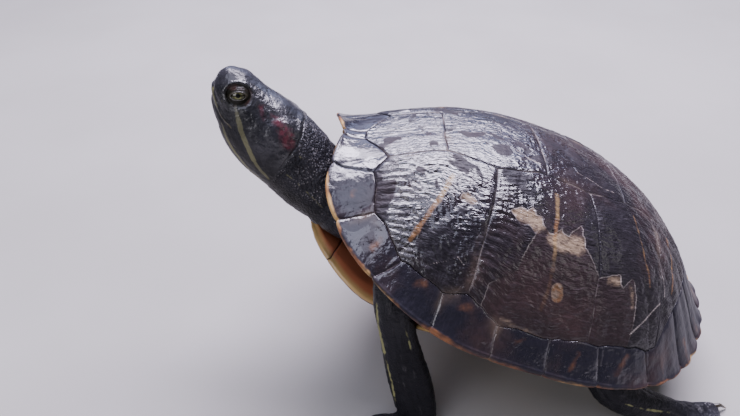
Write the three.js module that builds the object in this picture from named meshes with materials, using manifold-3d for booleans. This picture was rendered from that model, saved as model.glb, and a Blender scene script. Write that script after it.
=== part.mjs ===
// Red-eared slider turtle, adult, life size, millimetres, +Z up, head towards -Y, its left side at +X.
//
// The animal rests on the rear end of its plastron, its hind feet and its tail, with the front of the
// shell lifted on stretched forelegs and the head raised.
//
// The shell has a frame of its own: x to the animal's left, y rearwards from the front of the shell,
// z up from the level of the side rim. The shell's group tips that frame nose up by shellPitch.
// Neck, head, legs and tail are given upright, from the same origin.

import * as THREE from 'three';
import { mergeVertices } from 'three/addons/utils/BufferGeometryUtils.js';
import ManifoldModule from 'manifold-3d';

const wasm = await ManifoldModule();
wasm.setup();

// ---------------------------------------------------------------- driving dimensions

const shellPitch = THREE.MathUtils.degToRad(21.7); // nose-up tilt of the shell
const shellHeight = 115; // height of the shell frame's origin over the floor
const gap = 0.3; // clearance between touching pieces

// Carapace: radius and height of the rim around its centre, evenly spaced from front to rear.
const shellCentre = 125;
const rimRadius = [119, 126, 119, 108, 99, 96, 101.5, 111, 119, 124, 124.5];
const rimHeight = [37.5, 14.5, 0, -1, 4, 10, 20];
const domeHeight = 70;
const domePower = 2.7;
const flareSide = 0.2; // how far the dome hollows towards the side rim
const flareEnd = 0.45; // and towards the front and rear rim
const flarePower = 8.1;
const plateThickness = 4.5;
const rimThickness = 2.4;
const bridgeInner = 0.85; // share of the rim radius where the solid bridge marginals begin

// Marginal plates: rim angle of each seam in degrees from the front, how far each plate's edge bulges,
// and how deep the notch in its middle is.
const marginalSeam = [1.6, 11.8, 25.7, 40.7, 58.7, 77, 94.5, 111, 127.5, 143, 157, 169, 180];
const marginalBulge = [1, 2.2, 1.6, 0.8, 0.5, 0.4, 0.5, 1, 2, 2.6, 2.8, 2.4];
const marginalNotch = [0, 0, 0, 0, 0, 0, 0, 0.4, 0.8, 1.4, 1.6, 1.2];
const nuchalNotch = 1.6;

// Seam between the marginal plates and the rest: angle and share of the rim radius at each marginal seam.
const innerSeamAngle = [2.2, 17.4, 28.5, 42.3, 55.6, 74.5, 92.5, 109, 126, 143, 157, 169, 180];
const innerSeamShare = [0.89, 0.834, 0.873, 0.906, 0.9, 0.915, 0.905, 0.89, 0.89, 0.79, 0.76, 0.75, 0.76];

// Corners of the vertebral plates on the left side, front to rear: x and y.
const vertebralFront = [22, 31];
const vertebralSeam = [[20.5, 57], [27, 109], [23.5, 158], [13, 199]];
const vertebralSide = [[30, 82], [29.5, 134], [20.3, 180]];
const vertebralRear = [27, 215];

// Plastron: radius around the shell's centre, evenly spaced from front to rear, and its levels.
const plastronRadius = [
  116, 112, 104, 93, 78, 80, 90, 88.5, 86.5, 86, // front lobe and bridge
  86.5, 88, 76, 65, 78, 89, 99, 108, 101, // bridge and rear lobe
];
const plastronLevel = -36.5;
const plastronThickness = 5;
const plastronEdgeThickness = 3;
const frontLobeRise = 8;
const rearLobeRise = 2.5;
const bridgeRise = 32;
const bridgeStart = 48;
const bridgeEnd = 88;

// The soft body fills this share of the rim's radius under the dome, and this share of the plastron's below.
const trunkShare = 0.81;
const trunkFloorShare = 0.87;
const trunkClearance = 2.5;

// ---------------------------------------------------------------- helpers

/** Smooth value at t (0 to 1) through evenly spaced values, level at both ends. */
function smooth(values, t) {
  const last = values.length - 1;
  const x = THREE.MathUtils.clamp(t, 0, 1) * last;
  const i = Math.min(Math.floor(x), last - 1);
  const f = x - i;
  const b = values[i];
  const c = values[i + 1];
  const a = i > 0 ? values[i - 1] : c;
  const d = i + 2 <= last ? values[i + 2] : b;
  return b + 0.5 * f * (c - a + f * (2 * a - 5 * b + 4 * c - d + f * (3 * (b - c) + d - a)));
}

function step(low, high, value) {
  return THREE.MathUtils.smoothstep(value, low, high);
}

/** Moves every corner of a geometry by a function that takes and changes a Vector3. */
function warp(geometry, change) {
  const position = geometry.attributes.position;
  const point = new THREE.Vector3();
  for (let i = 0; i < position.count; i++) {
    point.fromBufferAttribute(position, i);
    change(point);
    position.setXYZ(i, point.x, point.y, point.z);
  }
  return geometry;
}

/** Closed geometry to manifold solid: shared corners merged, empty triangles dropped. */
function solid(geometry) {
  const bare = geometry.clone();
  bare.deleteAttribute('normal');
  bare.deleteAttribute('uv');
  const merged = mergeVertices(bare, 1e-3);
  const index = merged.index.array;
  const triangles = [];
  for (let i = 0; i < index.length; i += 3) {
    const [a, b, c] = [index[i], index[i + 1], index[i + 2]];
    if (a !== b && b !== c && c !== a) triangles.push(a, b, c);
  }
  const body = new wasm.Manifold(new wasm.Mesh({
    numProp: 3,
    vertProperties: new Float32Array(merged.attributes.position.array),
    triVerts: new Uint32Array(triangles),
  }));
  return body;
}

/** Manifold solid to a named mesh. */
function mesh(name, body, material) {
  const { vertProperties, triVerts } = body.getMesh();
  const geometry = new THREE.BufferGeometry();
  geometry.setAttribute('position', new THREE.BufferAttribute(vertProperties, 3));
  geometry.setIndex(new THREE.BufferAttribute(triVerts, 1));
  geometry.computeVertexNormals();
  const result = new THREE.Mesh(geometry, material.clone());
  result.name = name;
  return result;
}

function finish(color, roughness) {
  return new THREE.MeshStandardMaterial({ color, roughness, metalness: 0 });
}

// ---------------------------------------------------------------- carapace

/** How far the rim stands out at an angle in degrees: one bulge per plate, the rear plates notched. */
function scallop(degrees) {
  if (degrees < marginalSeam[0]) return -nuchalNotch * degrees / marginalSeam[0];
  const i = Math.min(marginalSeam.findIndex((seam) => seam > degrees), 12) - 1;
  const plate = i < 0 ? 11 : i;
  const t = (degrees - marginalSeam[plate]) / (marginalSeam[plate + 1] - marginalSeam[plate]);
  const arch = Math.sqrt(Math.max(Math.sin(Math.PI * t), 0));
  const notch = Math.exp(-(((t - 0.5) / 0.13) ** 2));
  return marginalBulge[plate] * (arch - 0.6) - marginalNotch[plate] * notch;
}

/** Rim radius without its scallops, at an angle in radians from the front. */
function rimSmooth(angle) {
  return smooth(rimRadius, Math.abs(angle) / Math.PI);
}

function rimAt(angle) {
  return rimSmooth(angle) + scallop(THREE.MathUtils.radToDeg(Math.abs(angle)));
}

/** Height of the carapace's outer face at a share of the rim radius and an angle from the front. */
function domeAt(share, angle) {
  const turn = Math.abs(angle);
  const flare = flareSide + (flareEnd - flareSide) * Math.cos(turn) ** 2;
  const rise = (1 - share ** domePower) * (1 - flare * share ** flarePower);
  return smooth(rimHeight, turn / Math.PI) * share ** 4 + domeHeight * rise;
}

/** 1 along the bridge between the legs, 0 at the front and rear openings. */
function bridgeAt(angle) {
  const degrees = THREE.MathUtils.radToDeg(Math.abs(angle));
  return step(48, 62, degrees) * (1 - step(108, 122, degrees));
}

/** Point of the shell at a share of the rim radius, an angle and a height. */
function polar(point, share, angle, height) {
  const radius = share * rimAt(angle);
  return point.set(radius * Math.sin(angle), shellCentre - radius * Math.cos(angle), height);
}

/** Depth of the carapace below its outer face. */
function depthAt(share) {
  return plateThickness - (plateThickness - rimThickness) * step(0.88, 1, share);
}

/** Height of the carapace's inner face. */
function innerAt(share, angle, solidRim) {
  const thin = domeAt(share, angle) - depthAt(share);
  if (!solidRim) return thin;
  const wedge = smooth(rimHeight, Math.abs(angle) / Math.PI) - rimThickness;
  return THREE.MathUtils.lerp(thin, Math.min(thin, wedge), bridgeAt(angle));
}

/**
 * The whole carapace as one solid: a lathe profile whose radius is the share of the rim radius, and whose
 * height only marks the layer, is turned once and then moved onto the two faces of the shell.
 */
function carapaceBlank(grow = 0) {
  const outer = [0, 0.32, 0.56, 0.74, 0.88, 1];
  const inner = [1, bridgeInner];
  const hollow = [bridgeInner - 0.02, 0.55, 0];
  const profile = [
    ...hollow.toReversed().map((share) => new THREE.Vector2(share, -2)),
    ...inner.toReversed().map((share) => new THREE.Vector2(share, -1)),
    ...outer.toReversed().map((share) => new THREE.Vector2(share, 1)),
  ];
  const blank = new THREE.LatheGeometry(profile, 52);
  return solid(warp(blank, (point) => {
    const share = Math.min(Math.hypot(point.x, point.z), 1);
    const angle = Math.atan2(point.x, point.z);
    const layer = Math.round(point.y);
    const height = layer > 0 ? domeAt(share, angle) + grow : innerAt(share, angle, layer === -1) - grow;
    polar(point, share, angle, height);
    if (grow && share > 0.99) {
      point.x += grow * Math.sin(angle);
      point.y -= grow * Math.cos(angle);
    }
  }));
}

/** Rounds an outline in a little, so that neighbours keep the gap between them. */
function inset(outline, distance) {
  const count = outline.length;
  const normals = outline.map((point, i) => {
    const next = outline[(i + 1) % count];
    const along = next.clone().sub(point).normalize();
    return new THREE.Vector2(-along.y, along.x);
  });
  return outline.map((point, i) => {
    const before = normals[(i + count - 1) % count];
    const after = normals[i];
    const middle = before.clone().add(after);
    return point.clone().addScaledVector(middle, distance / Math.max(1 + before.dot(after), 0.3));
  });
}

/** Upright prism over an outline in the shell's plan, anticlockwise, from below the rim to above the dome. */
function prism(outline) {
  const shape = new THREE.Shape(inset(outline, gap / 2));
  const margin = 20;
  const geometry = new THREE.ExtrudeGeometry(shape, { depth: domeHeight + 2 * margin, bevelEnabled: false });
  return solid(geometry.translate(0, 0, -margin));
}

/** Plan point at a share of the rim radius and an angle in degrees. */
function planAt(share, degrees) {
  const angle = THREE.MathUtils.degToRad(degrees);
  const radius = share * smooth(rimRadius, degrees / 180);
  return new THREE.Vector2(radius * Math.sin(angle), shellCentre - radius * Math.cos(angle));
}

const innerSeam = innerSeamAngle.map((degrees, i) => planAt(innerSeamShare[i], degrees));
const beyondRim = 1.12;
const outerSeam = marginalSeam.map((degrees) => planAt(beyondRim, degrees));
const plan = (pair) => new THREE.Vector2(pair[0], pair[1]);

/** Outline on the right side of the body from one on the left. */
function mirrored(outline) {
  return outline.map((point) => new THREE.Vector2(-point.x, point.y)).reverse();
}

/** An outline that lies across the midline, from its left half, front to rear. */
function across(half) {
  const left = half.filter((point) => point.x > 1e-6);
  const front = half.filter((point) => point.x <= 1e-6 && point.y <= left[0].y);
  const rear = half.filter((point) => point.x <= 1e-6 && point.y > left[0].y);
  return [...front, ...left, ...rear, ...mirrored(left)];
}

/** Plan outlines of all plates: nuchal, five vertebral, four pairs of costal, twelve pairs of marginal. */
function plateOutlines() {
  const front = plan(vertebralFront);
  const rear = plan(vertebralRear);
  const seam = vertebralSeam.map(plan);
  const side = vertebralSide.map(plan);
  const nuchalRear = innerSeam[0];
  const outlines = {
    nuchal: across([outerSeam[0], nuchalRear]),
    vertebral_1: across([nuchalRear, front, seam[0]]),
    vertebral_2: across([seam[0], side[0], seam[1]]),
    vertebral_3: across([seam[1], side[1], seam[2]]),
    vertebral_4: across([seam[2], side[2], seam[3]]),
    vertebral_5: across([seam[3], rear, innerSeam[11], innerSeam[12].clone().setX(0)]),
  };
  const costals = [
    [front, innerSeam[1], innerSeam[2], innerSeam[3], innerSeam[4], planAt(0.87, 61.4), side[0], seam[0]],
    [side[0], planAt(0.87, 61.4), innerSeam[5], innerSeam[6], planAt(0.886, 104.6), side[1], seam[1]],
    [side[1], planAt(0.886, 104.6), innerSeam[7], innerSeam[8], planAt(0.88, 130), side[2], seam[2]],
    [side[2], planAt(0.88, 130), innerSeam[9], innerSeam[10], rear, seam[3]],
  ];
  const marginals = marginalSeam.slice(1).map((_, i) => [
    outerSeam[i], outerSeam[i + 1], ...innerEdge(i),
  ]);
  for (const [label, list] of [['costal', costals], ['marginal', marginals]]) {
    list.forEach((outline, i) => {
      outlines[`${label}_left_${i + 1}`] = outline;
      outlines[`${label}_right_${i + 1}`] = mirrored(outline);
    });
  }
  return outlines;

  /** Inner edge of a marginal plate, rear to front, with the corners of the plates that meet it. */
  function innerEdge(i) {
    const corners = { 4: planAt(0.87, 61.4), 6: planAt(0.886, 104.6), 8: planAt(0.88, 130) };
    const points = [innerSeam[i + 1], innerSeam[i]];
    if (i === 0) points.splice(1, 0, front);
    if (corners[i]) points.splice(1, 0, corners[i]);
    if (i === 10) points.splice(1, 0, rear);
    return points;
  }
}

// ---------------------------------------------------------------- plastron and trunk

/** Height of the plastron's under face in the shell's plan. */
function plastronAt(x, y) {
  const front = frontLobeRise * (1 - step(10, 60, y));
  const rear = rearLobeRise * step(175, 230, y);
  return plastronLevel + front + rear + bridgeRise * step(bridgeStart, bridgeEnd + 6, Math.abs(x));
}

function plastronEdge(angle) {
  return smooth(plastronRadius, Math.abs(angle) / Math.PI);
}

function plastronBlank(grow = 0) {
  const shares = [0, 0.5, 0.85, 1];
  const profile = [
    ...shares.map((share) => new THREE.Vector2(share, -1)),
    ...shares.toReversed().map((share) => new THREE.Vector2(share, 1)),
  ];
  const blank = new THREE.LatheGeometry(profile, 36);
  return solid(warp(blank, (point) => {
    const share = Math.hypot(point.x, point.z);
    const angle = Math.atan2(point.x, point.z);
    const radius = share * (plastronEdge(angle) + grow);
    const layer = point.y;
    point.x = radius * Math.sin(angle);
    point.y = shellCentre - radius * Math.cos(angle);
    const lower = share > 0.99 ? (plastronThickness - plastronEdgeThickness) / 2 : 0;
    const height = layer > 0 ? plastronThickness - lower + grow : lower - grow;
    point.z = plastronAt(point.x, point.y) + height;
  }));
}

/** Soft body between the two shells; its front and rear walls show in the openings. */
function trunkBlank(grow = 0) {
  const shares = [0, 0.45, trunkShare];
  const profile = [
    ...shares.map((share) => new THREE.Vector2(share, -1)),
    ...shares.toReversed().map((share) => new THREE.Vector2(share, 1)),
  ];
  const blank = new THREE.LatheGeometry(profile, 32);
  return solid(warp(blank, (point) => {
    const share = Math.hypot(point.x, point.z);
    const angle = Math.atan2(point.x, point.z);
    const top = domeAt(share, angle) - plateThickness - trunkClearance + grow;
    const layer = point.y;
    const edge = layer > 0 ? trunkShare * rimSmooth(angle) : trunkFloorShare * plastronEdge(angle);
    const radius = (share / trunkShare) * (edge + grow);
    point.x = radius * Math.sin(angle);
    point.y = shellCentre - radius * Math.cos(angle);
    const floor = plastronAt(point.x, point.y) + plastronThickness + trunkClearance - grow;
    point.z = layer > 0 ? top : floor;
  }));
}

// ---------------------------------------------------------------- soft parts

/**
 * A closed body along a curve. Each station gives the centre, the half width across, and the half height
 * above and below; the section is a rounded ellipse.
 */
function loft(stations, options) {
  const { across: side = [1, 0, 0], from = 0, to = 1, around, along, square = 2.2 } = options;
  const path = new THREE.CatmullRomCurve3(stations.map((s) => new THREE.Vector3(...s.at)));
  const sideways = new THREE.Vector3(...side).normalize();
  const wide = stations.map((s) => s.wide);
  const above = stations.map((s) => s.above);
  const below = stations.map((s) => s.below ?? s.above);
  const tube = new THREE.CylinderGeometry(1, 1, 1, around, along);
  const centre = new THREE.Vector3();
  return solid(warp(tube, (point) => {
    const t = THREE.MathUtils.lerp(from, to, 0.5 - point.y);
    const reach = Math.hypot(point.x, point.z);
    const angle = Math.atan2(point.z, point.x);
    const round = (value) => Math.sign(value) * Math.abs(value) ** (2 / square);
    const [c, s] = [round(Math.cos(angle)) * reach, round(Math.sin(angle)) * reach];
    path.getPoint(t, centre);
    const forward = path.getTangent(t);
    const up = new THREE.Vector3().crossVectors(sideways, forward).normalize();
    const out = new THREE.Vector3().crossVectors(forward, up).normalize();
    point.copy(centre)
      .addScaledVector(out, c * smooth(wide, t))
      .addScaledVector(up, -s * smooth(s < 0 ? above : below, t));
  }));
}


// ---------------------------------------------------------------- neck, head and eyes

const headTip = [0, -46.8, 61]; // tip of the nose
const headPitch = THREE.MathUtils.degToRad(47); // the head points up and forwards
const neckCut = 59; // distance from the tip where the head ends
// Distance from the tip, rise of the centre above the axis, half width and half height of the section.
const headSections = [
  [1.6, 1.2, 3.4, 4.4], [4, 2, 8.4, 7.6], [9, 1.6, 12, 11.8], [15, -0.8, 14.2, 15.2], [24, -3.2, 17, 18],
  [34, -4.4, 19.3, 20.2], [44, -4.4, 21, 21.6], [54, -4, 21.2, 22.4], [64, -4.6, 20.4, 22.2],
  [76, -5.6, 21.5, 21.2], [90, -5, 24.5, 19], [104, -4, 27, 17], [122, -2, 26, 12],
];
const eyeCentre = [7.2, 13.6, 6]; // out from the midline, back along the axis, above it
const eyeRadius = 5.6;

/** Point in the head's frame: out to the left, back from the tip along the axis, above the axis. */
function headPoint(out, back, above) {
  const [c, s] = [Math.cos(headPitch), Math.sin(headPitch)];
  return [headTip[0] + out, headTip[1] + back * c + above * s, headTip[2] - back * s + above * c];
}

function headLoft(first, last, along) {
  const stations = headSections.map(([back, rise, wide, high]) => ({
    at: headPoint(0, back, rise), wide, above: high,
  }));
  return loft(stations, { from: first, to: last, along, around: 18, square: 2.1 });
}

/** Share of the head's loft where a distance from the tip lies. */
function headShare(back) {
  const last = headSections.length - 1;
  const i = Math.min(headSections.findIndex((section) => section[0] > back), last) - 1;
  const [low, high] = [headSections[i][0], headSections[i + 1][0]];
  return (i + (back - low) / (high - low)) / last;
}

// ---------------------------------------------------------------- legs and tail

const foreleg = [
  { at: [44, 50, -20], wide: 13, above: 10 },
  { at: [60, 49, -36], wide: 11.5, above: 9.5 },
  { at: [67, 51, -56], wide: 9.6, above: 8 },
  { at: [72, 55, -76], wide: 10.2, above: 7.8 },
  { at: [78, 60.5, -95], wide: 11.2, above: 7.6 },
  { at: [82.5, 64.5, -106], wide: 10.4, above: 6.5 },
];
const hindleg = [
  { at: [40, 172, -73], wide: 12, above: 12 },
  { at: [57, 168, -80], wide: 13, above: 12.5 },
  { at: [70, 174, -92], wide: 11.5, above: 11.5 },
  { at: [73, 190, -101], wide: 9.4, above: 9.5 },
  { at: [73, 205, -107], wide: 8.6, above: 7.5 },
];
const kneeShare = 0.47; // share of a leg's length where its upper part ends
const kneeCut = 0.005; // share left free between the two parts
const forefoot = { heel: [83, 66, -109.5], toe: [95, 42, -112.8], wide: [8, 12, 14], thick: [6, 4.2, 2.4] };
const hindfoot = { heel: [73, 206, -109], toe: [82, 237, -112.6], wide: [8, 13, 17], thick: [6.4, 4.6, 2.4] };
const toeRadius = 2.5;
const toeSpread = 0.45; // how far the outer toes turn out, as a slope
const toeBeyondWeb = 5;
const clawLength = 7.5;
const clawRadius = 1.5;
const clawPoint = 0.35;
const tail = [
  { at: [0, 182, -96], wide: 9, above: 8 },
  { at: [1, 200, -104], wide: 7.5, above: 6.5 },
  { at: [4, 217, -110.6], wide: 5, above: 4.8 },
  { at: [9, 232, -113], wide: 3, above: 2.6 },
  { at: [15, 243, -114.2], wide: 1.2, above: 1.2 },
];

/** Stations on the other side of the body, moved a little, because the animal doesn't stand symmetrically. */
function otherSide(stations, move) {
  return stations.map((s, i) => {
    const share = i / (stations.length - 1);
    return { ...s, at: [-s.at[0], s.at[1] + move * share, s.at[2]] };
  });
}

/** The same stations with room for the gap around them. */
function roomier(stations) {
  return stations.map((s) => ({ ...s, wide: s.wide + gap, above: s.above + gap }));
}

/** A flat webbed foot with its toes and claws, as one body. */
function foot({ heel, toe, wide, thick }, toes, side, move, grow = 0) {
  const start = new THREE.Vector3(side * heel[0], heel[1] + move, heel[2]);
  const end = new THREE.Vector3(side * toe[0], toe[1] + move, toe[2]);
  const middle = start.clone().lerp(end, 0.5);
  const ahead = end.clone().sub(start).setZ(0).normalize();
  const sideways = new THREE.Vector3(-ahead.y, ahead.x, 0);
  const stations = [start, middle, end].map((point, i) => ({
    at: point.toArray(), wide: wide[i] + grow, above: thick[i] + grow,
  }));
  let body = loft(stations, { across: sideways.toArray(), around: 10, along: 4 });
  for (let i = 0; i < toes; i++) {
    const spread = (i / (toes - 1)) * 2 - 1;
    const bend = ahead.clone().addScaledVector(sideways, spread * toeSpread).normalize();
    const root = middle.clone().addScaledVector(sideways, spread * wide[1] * 0.62);
    const middleReach = end.distanceTo(start) / 2 + toeBeyondWeb;
    const tip = root.clone().addScaledVector(bend, middleReach * (1 - 0.22 * spread * spread));
    tip.z = toe[2] + 0.9;
    const claw = tip.clone().addScaledVector(bend, clawLength);
    claw.z = toe[2] - 0.8;
    const toeStations = [
      { at: root.toArray(), wide: toeRadius, above: toeRadius },
      { at: tip.toArray(), wide: toeRadius, above: toeRadius },
      { at: tip.clone().addScaledVector(bend, 1.6).toArray(), wide: clawRadius, above: clawRadius },
      { at: claw.toArray(), wide: clawPoint, above: clawPoint },
    ];
    body = body.add(loft(toeStations, { across: sideways.toArray(), around: 5, along: 3, square: 2 }));
  }
  return body;
}

// ---------------------------------------------------------------- colours

const finishes = {
  plate: finish(0x2a2724, 0.25),
  rim: finish(0x35302a, 0.25),
  plastron: finish(0xc98a3c, 0.4),
  skin: finish(0x24272a, 0.5),
  trunk: finish(0x1e2022, 0.6),
  eye: finish(0x4d4a22, 0.1),
};

// ---------------------------------------------------------------- assembly

const model = new THREE.Group();
const shell = new THREE.Group();
shell.rotation.x = -shellPitch;
model.add(shell);

const upright = new THREE.Matrix4().makeRotationX(-shellPitch);
const flat = (body, matrix) => body.transform(matrix.elements);
const toShell = (body) => flat(body, upright.clone().invert());
const toWorld = (body) => flat(body, upright);

const groundSize = [600, 800, 100];
const ground = solid(
  new THREE.BoxGeometry(...groundSize).translate(0, shellCentre, -shellHeight - groundSize[2] / 2),
);
const carapace = carapaceBlank();
const carapaceRoom = toWorld(carapaceBlank(gap));
const plastronRoom = toWorld(plastronBlank(gap));
const trunkRoom = toWorld(trunkBlank(gap));

for (const [name, outline] of Object.entries(plateOutlines())) {
  const material = name.startsWith('marginal') ? finishes.rim : finishes.plate;
  shell.add(mesh(`scute_${name}`, carapace.intersect(prism(outline)), material));
}
const plastron = plastronBlank().subtract(carapaceBlank(gap)).subtract(toShell(ground));
shell.add(mesh('plastron', plastron, finishes.plastron));

const shellRoom = carapaceBlank(gap).add(plastronBlank(gap)).add(toShell(ground));
const trunk = trunkBlank().subtract(shellRoom);
shell.add(mesh('trunk', trunk, finishes.trunk));

/** Takes away what belongs to the shells, the trunk and the ground. */
function clear(body) {
  return body.subtract(trunkRoom).subtract(carapaceRoom).subtract(plastronRoom).subtract(ground);
}

let head = headLoft(0, headShare(neckCut), 12);
const neck = headLoft(headShare(neckCut + gap), 1, 6);
for (const side of [1, -1]) {
  const centre = headPoint(side * eyeCentre[0], eyeCentre[1], eyeCentre[2]);
  const ball = new THREE.SphereGeometry(eyeRadius, 10, 8);
  const socket = new THREE.SphereGeometry(eyeRadius + gap, 10, 8);
  head = head.subtract(solid(socket.translate(...centre)));
  const name = side > 0 ? 'eye_left' : 'eye_right';
  model.add(mesh(name, solid(ball.translate(...centre)), finishes.eye));
}
model.add(mesh('head', head, finishes.skin));
model.add(mesh('neck', clear(neck), finishes.skin));
model.add(mesh('tail', clear(loft(tail, { around: 8, along: 4 })), finishes.skin));

// The right legs stand a little off the mirrored place of the left ones.
const limbs = [
  { label: 'foreleg', foot: 'forefoot', stations: foreleg, end: forefoot, toes: 5, across: [0, 1, 0], move: -14 },
  { label: 'hindleg', foot: 'hindfoot', stations: hindleg, end: hindfoot, toes: 4, across: [0, 0.6, 0.8], move: 8 },
];
for (const limb of limbs) {
  for (const side of [1, -1]) {
    const move = side > 0 ? 0 : limb.move;
    const stations = side > 0 ? limb.stations : otherSide(limb.stations, move);
    const word = side > 0 ? 'left' : 'right';
    const options = { across: limb.across, around: 10, along: 4 };
    const paw = foot(limb.end, limb.toes, side, move);
    const upper = loft(stations, { ...options, to: kneeShare });
    const knee = loft(roomier(stations), { ...options, to: kneeShare });
    const ankle = foot(limb.end, limb.toes, side, move, gap);
    const lower = loft(stations, { ...options, from: kneeShare + kneeCut }).subtract(knee).subtract(ankle);
    model.add(mesh(`${limb.label}_${word}_upper`, clear(upper), finishes.skin));
    model.add(mesh(`${limb.label}_${word}_lower`, clear(lower), finishes.skin));
    model.add(mesh(`${limb.foot}_${word}`, clear(paw), finishes.skin));
  }
}

// The origin is under the middle of the model's box, on the ground.
const box = new THREE.Box3().setFromObject(model, true);
const middle = box.getCenter(new THREE.Vector3());
model.position.set(-middle.x, -middle.y, -box.min.z);
model.updateMatrixWorld(true);

export default model;
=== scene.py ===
# %% [markdown]
# # A red-eared slider turtle, life size
#
# A slider wears two coverings. Thin plates of horn, the scutes, lie edge to edge over the bone of its
# shell, and soft dark skin covers all the rest. The model follows that: every scute is a piece of its
# own, and one skin runs over head, neck, legs and tail. The rigid frame from the packed model gives the
# place of everything, so it is loaded first.

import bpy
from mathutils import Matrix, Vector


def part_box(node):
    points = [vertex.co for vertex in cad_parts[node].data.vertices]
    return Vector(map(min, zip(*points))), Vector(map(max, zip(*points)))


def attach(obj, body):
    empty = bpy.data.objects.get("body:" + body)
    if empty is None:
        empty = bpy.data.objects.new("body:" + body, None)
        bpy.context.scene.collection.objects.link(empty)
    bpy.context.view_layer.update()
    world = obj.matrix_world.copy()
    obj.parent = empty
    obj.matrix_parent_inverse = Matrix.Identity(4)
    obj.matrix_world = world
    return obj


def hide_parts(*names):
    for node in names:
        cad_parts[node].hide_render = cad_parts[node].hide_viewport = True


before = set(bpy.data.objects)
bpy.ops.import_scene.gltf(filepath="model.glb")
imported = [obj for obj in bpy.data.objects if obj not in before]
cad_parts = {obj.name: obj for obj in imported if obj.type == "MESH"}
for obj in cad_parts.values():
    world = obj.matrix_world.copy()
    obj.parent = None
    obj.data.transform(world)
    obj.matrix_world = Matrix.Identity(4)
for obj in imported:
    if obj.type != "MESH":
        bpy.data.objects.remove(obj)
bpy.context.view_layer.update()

# %% Libraries
import math

import bmesh
import bpy
import numpy as np
from mathutils import Matrix, Vector, kdtree, noise

# %% [markdown]
# ## Three frames
#
# The animal stands nose up, so nothing on it is square to the floor. Shape is easier to write in two
# frames of its own, both in millimetres. The shell's frame has x to the animal's left, y rearwards from
# the front of the shell and z up from the side rim. The head's frame has its first axis out to the left,
# the second back from the tip of the nose, and the third up through the crown. A matrix takes each one to
# the final place in metres. The left eye of the frame fixes where the animal stands on the floor.

# %% Frames
MM = 0.001
SHELL_PITCH = math.radians(21.7)
HEAD_PITCH = math.radians(47)
HEAD_TIP = Vector((0, -46.8, 61))
EYE_CENTRE = Vector((7.2, 13.6, 6))
EYE_RADIUS = 5.6

low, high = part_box("eye_left")
head_turn = Matrix.Rotation(-HEAD_PITCH, 4, "X")
HEAD_TURN = np.array(head_turn.to_3x3())
origin = (low + high) / 2 - MM * (HEAD_TIP + head_turn @ EYE_CENTRE)
BODY = Matrix.Translation(origin) @ Matrix.Scale(MM, 4)
SHELL = BODY @ Matrix.Rotation(-SHELL_PITCH, 4, "X")
HEAD = BODY @ Matrix.Translation(HEAD_TIP) @ head_turn
FLOOR = -origin.z / MM
print("shell origin", [round(n, 4) for n in origin], "floor at", round(FLOOR, 1), "mm")

# %% [markdown]
# ## Numbers along a row
#
# Most forms here are a row of sizes with a smooth run between them: the rim's radius at every 18 degrees,
# or the width of the head from nose to neck. One spline through evenly spaced values serves all of them.

# %% Smooth rows
def smooth(values, t):
    """Smooth value at t (0 to 1) through evenly spaced values, level at both ends."""
    row = np.asarray(values, float)
    place = np.clip(np.asarray(t, float), 0, 1) * (len(row) - 1)
    first = np.minimum(place.astype(int), len(row) - 2)
    f = place - first
    if row.ndim > 1:
        f = f[..., None]
    padded = np.concatenate([row[1:2], row, row[-2:-1]])
    a, b, c, d = (padded[first + k] for k in range(4))
    return b + 0.5 * f * (c - a + f * (2 * a - 5 * b + 4 * c - d + f * (3 * (b - c) + d - a)))


def step(low, high, value):
    """0 below low, 1 above high, with a soft rise between."""
    t = np.clip((np.asarray(value, float) - low) / (high - low), 0, 1)
    return t * t * (3 - 2 * t)


def along(points, t):
    """Points at shares t of the length of a line through given points."""
    line = np.asarray(points, float)
    length = np.concatenate([[0], np.cumsum(np.linalg.norm(np.diff(line, axis=0), axis=1))])
    place = np.asarray(t, float) * length[-1]
    return np.stack([np.interp(place, length, line[:, k]) for k in range(line.shape[1])], -1)


def clouds(points, size, seed=0):
    """Soft noise from -1 to 1 at each point, with features of about the given size."""
    shift = Vector((seed * 7.31, seed * 3.17, seed * 5.53))
    return np.array([noise.noise(Vector(p) / size + shift) for p in np.asarray(points, float)])


print("half way along a row of 1, 4, 2:", float(smooth([1, 4, 2], 0.5)))

# %% [markdown]
# ## The form of the shell
#
# The carapace is a dome over a rim that isn't round: it is wide at the rear, drawn in at the waist, and
# its front lip rises. The dome's height falls from the middle to the rim by one formula, which hollows
# a little near the rim, where the real shell flares out. Every scute is laid on this one surface, so the
# scutes fit each other without any fitting.

# %% Rim and dome
SHELL_CENTRE = 125
RIM_RADIUS = [  # at even angles from the front to the rear
    119, 126, 119, 108, 99, 96, 101.5, 111, 119, 124, 124.5,
]
RIM_HEIGHT = [37.5, 14.5, 0, -1, 4, 10, 20]
DOME_HEIGHT = 70
DOME_POWER = 2.7
FLARE_SIDE = 0.2
FLARE_END = 0.45
FLARE_POWER = 8.1
MARGINAL_SEAM = [  # degrees from the front
    1.6, 11.8, 25.7, 40.7, 58.7, 77, 94.5, 111, 127.5, 143, 157, 169, 180,
]
MARGINAL_BULGE = [1, 2.2, 1.6, 0.8, 0.5, 0.4, 0.5, 1, 2, 2.6, 2.8, 2.4]
MARGINAL_NOTCH = [0, 0, 0, 0, 0, 0, 0, 0.4, 0.8, 1.4, 1.6, 1.2]
NUCHAL_NOTCH = 1.6


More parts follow.
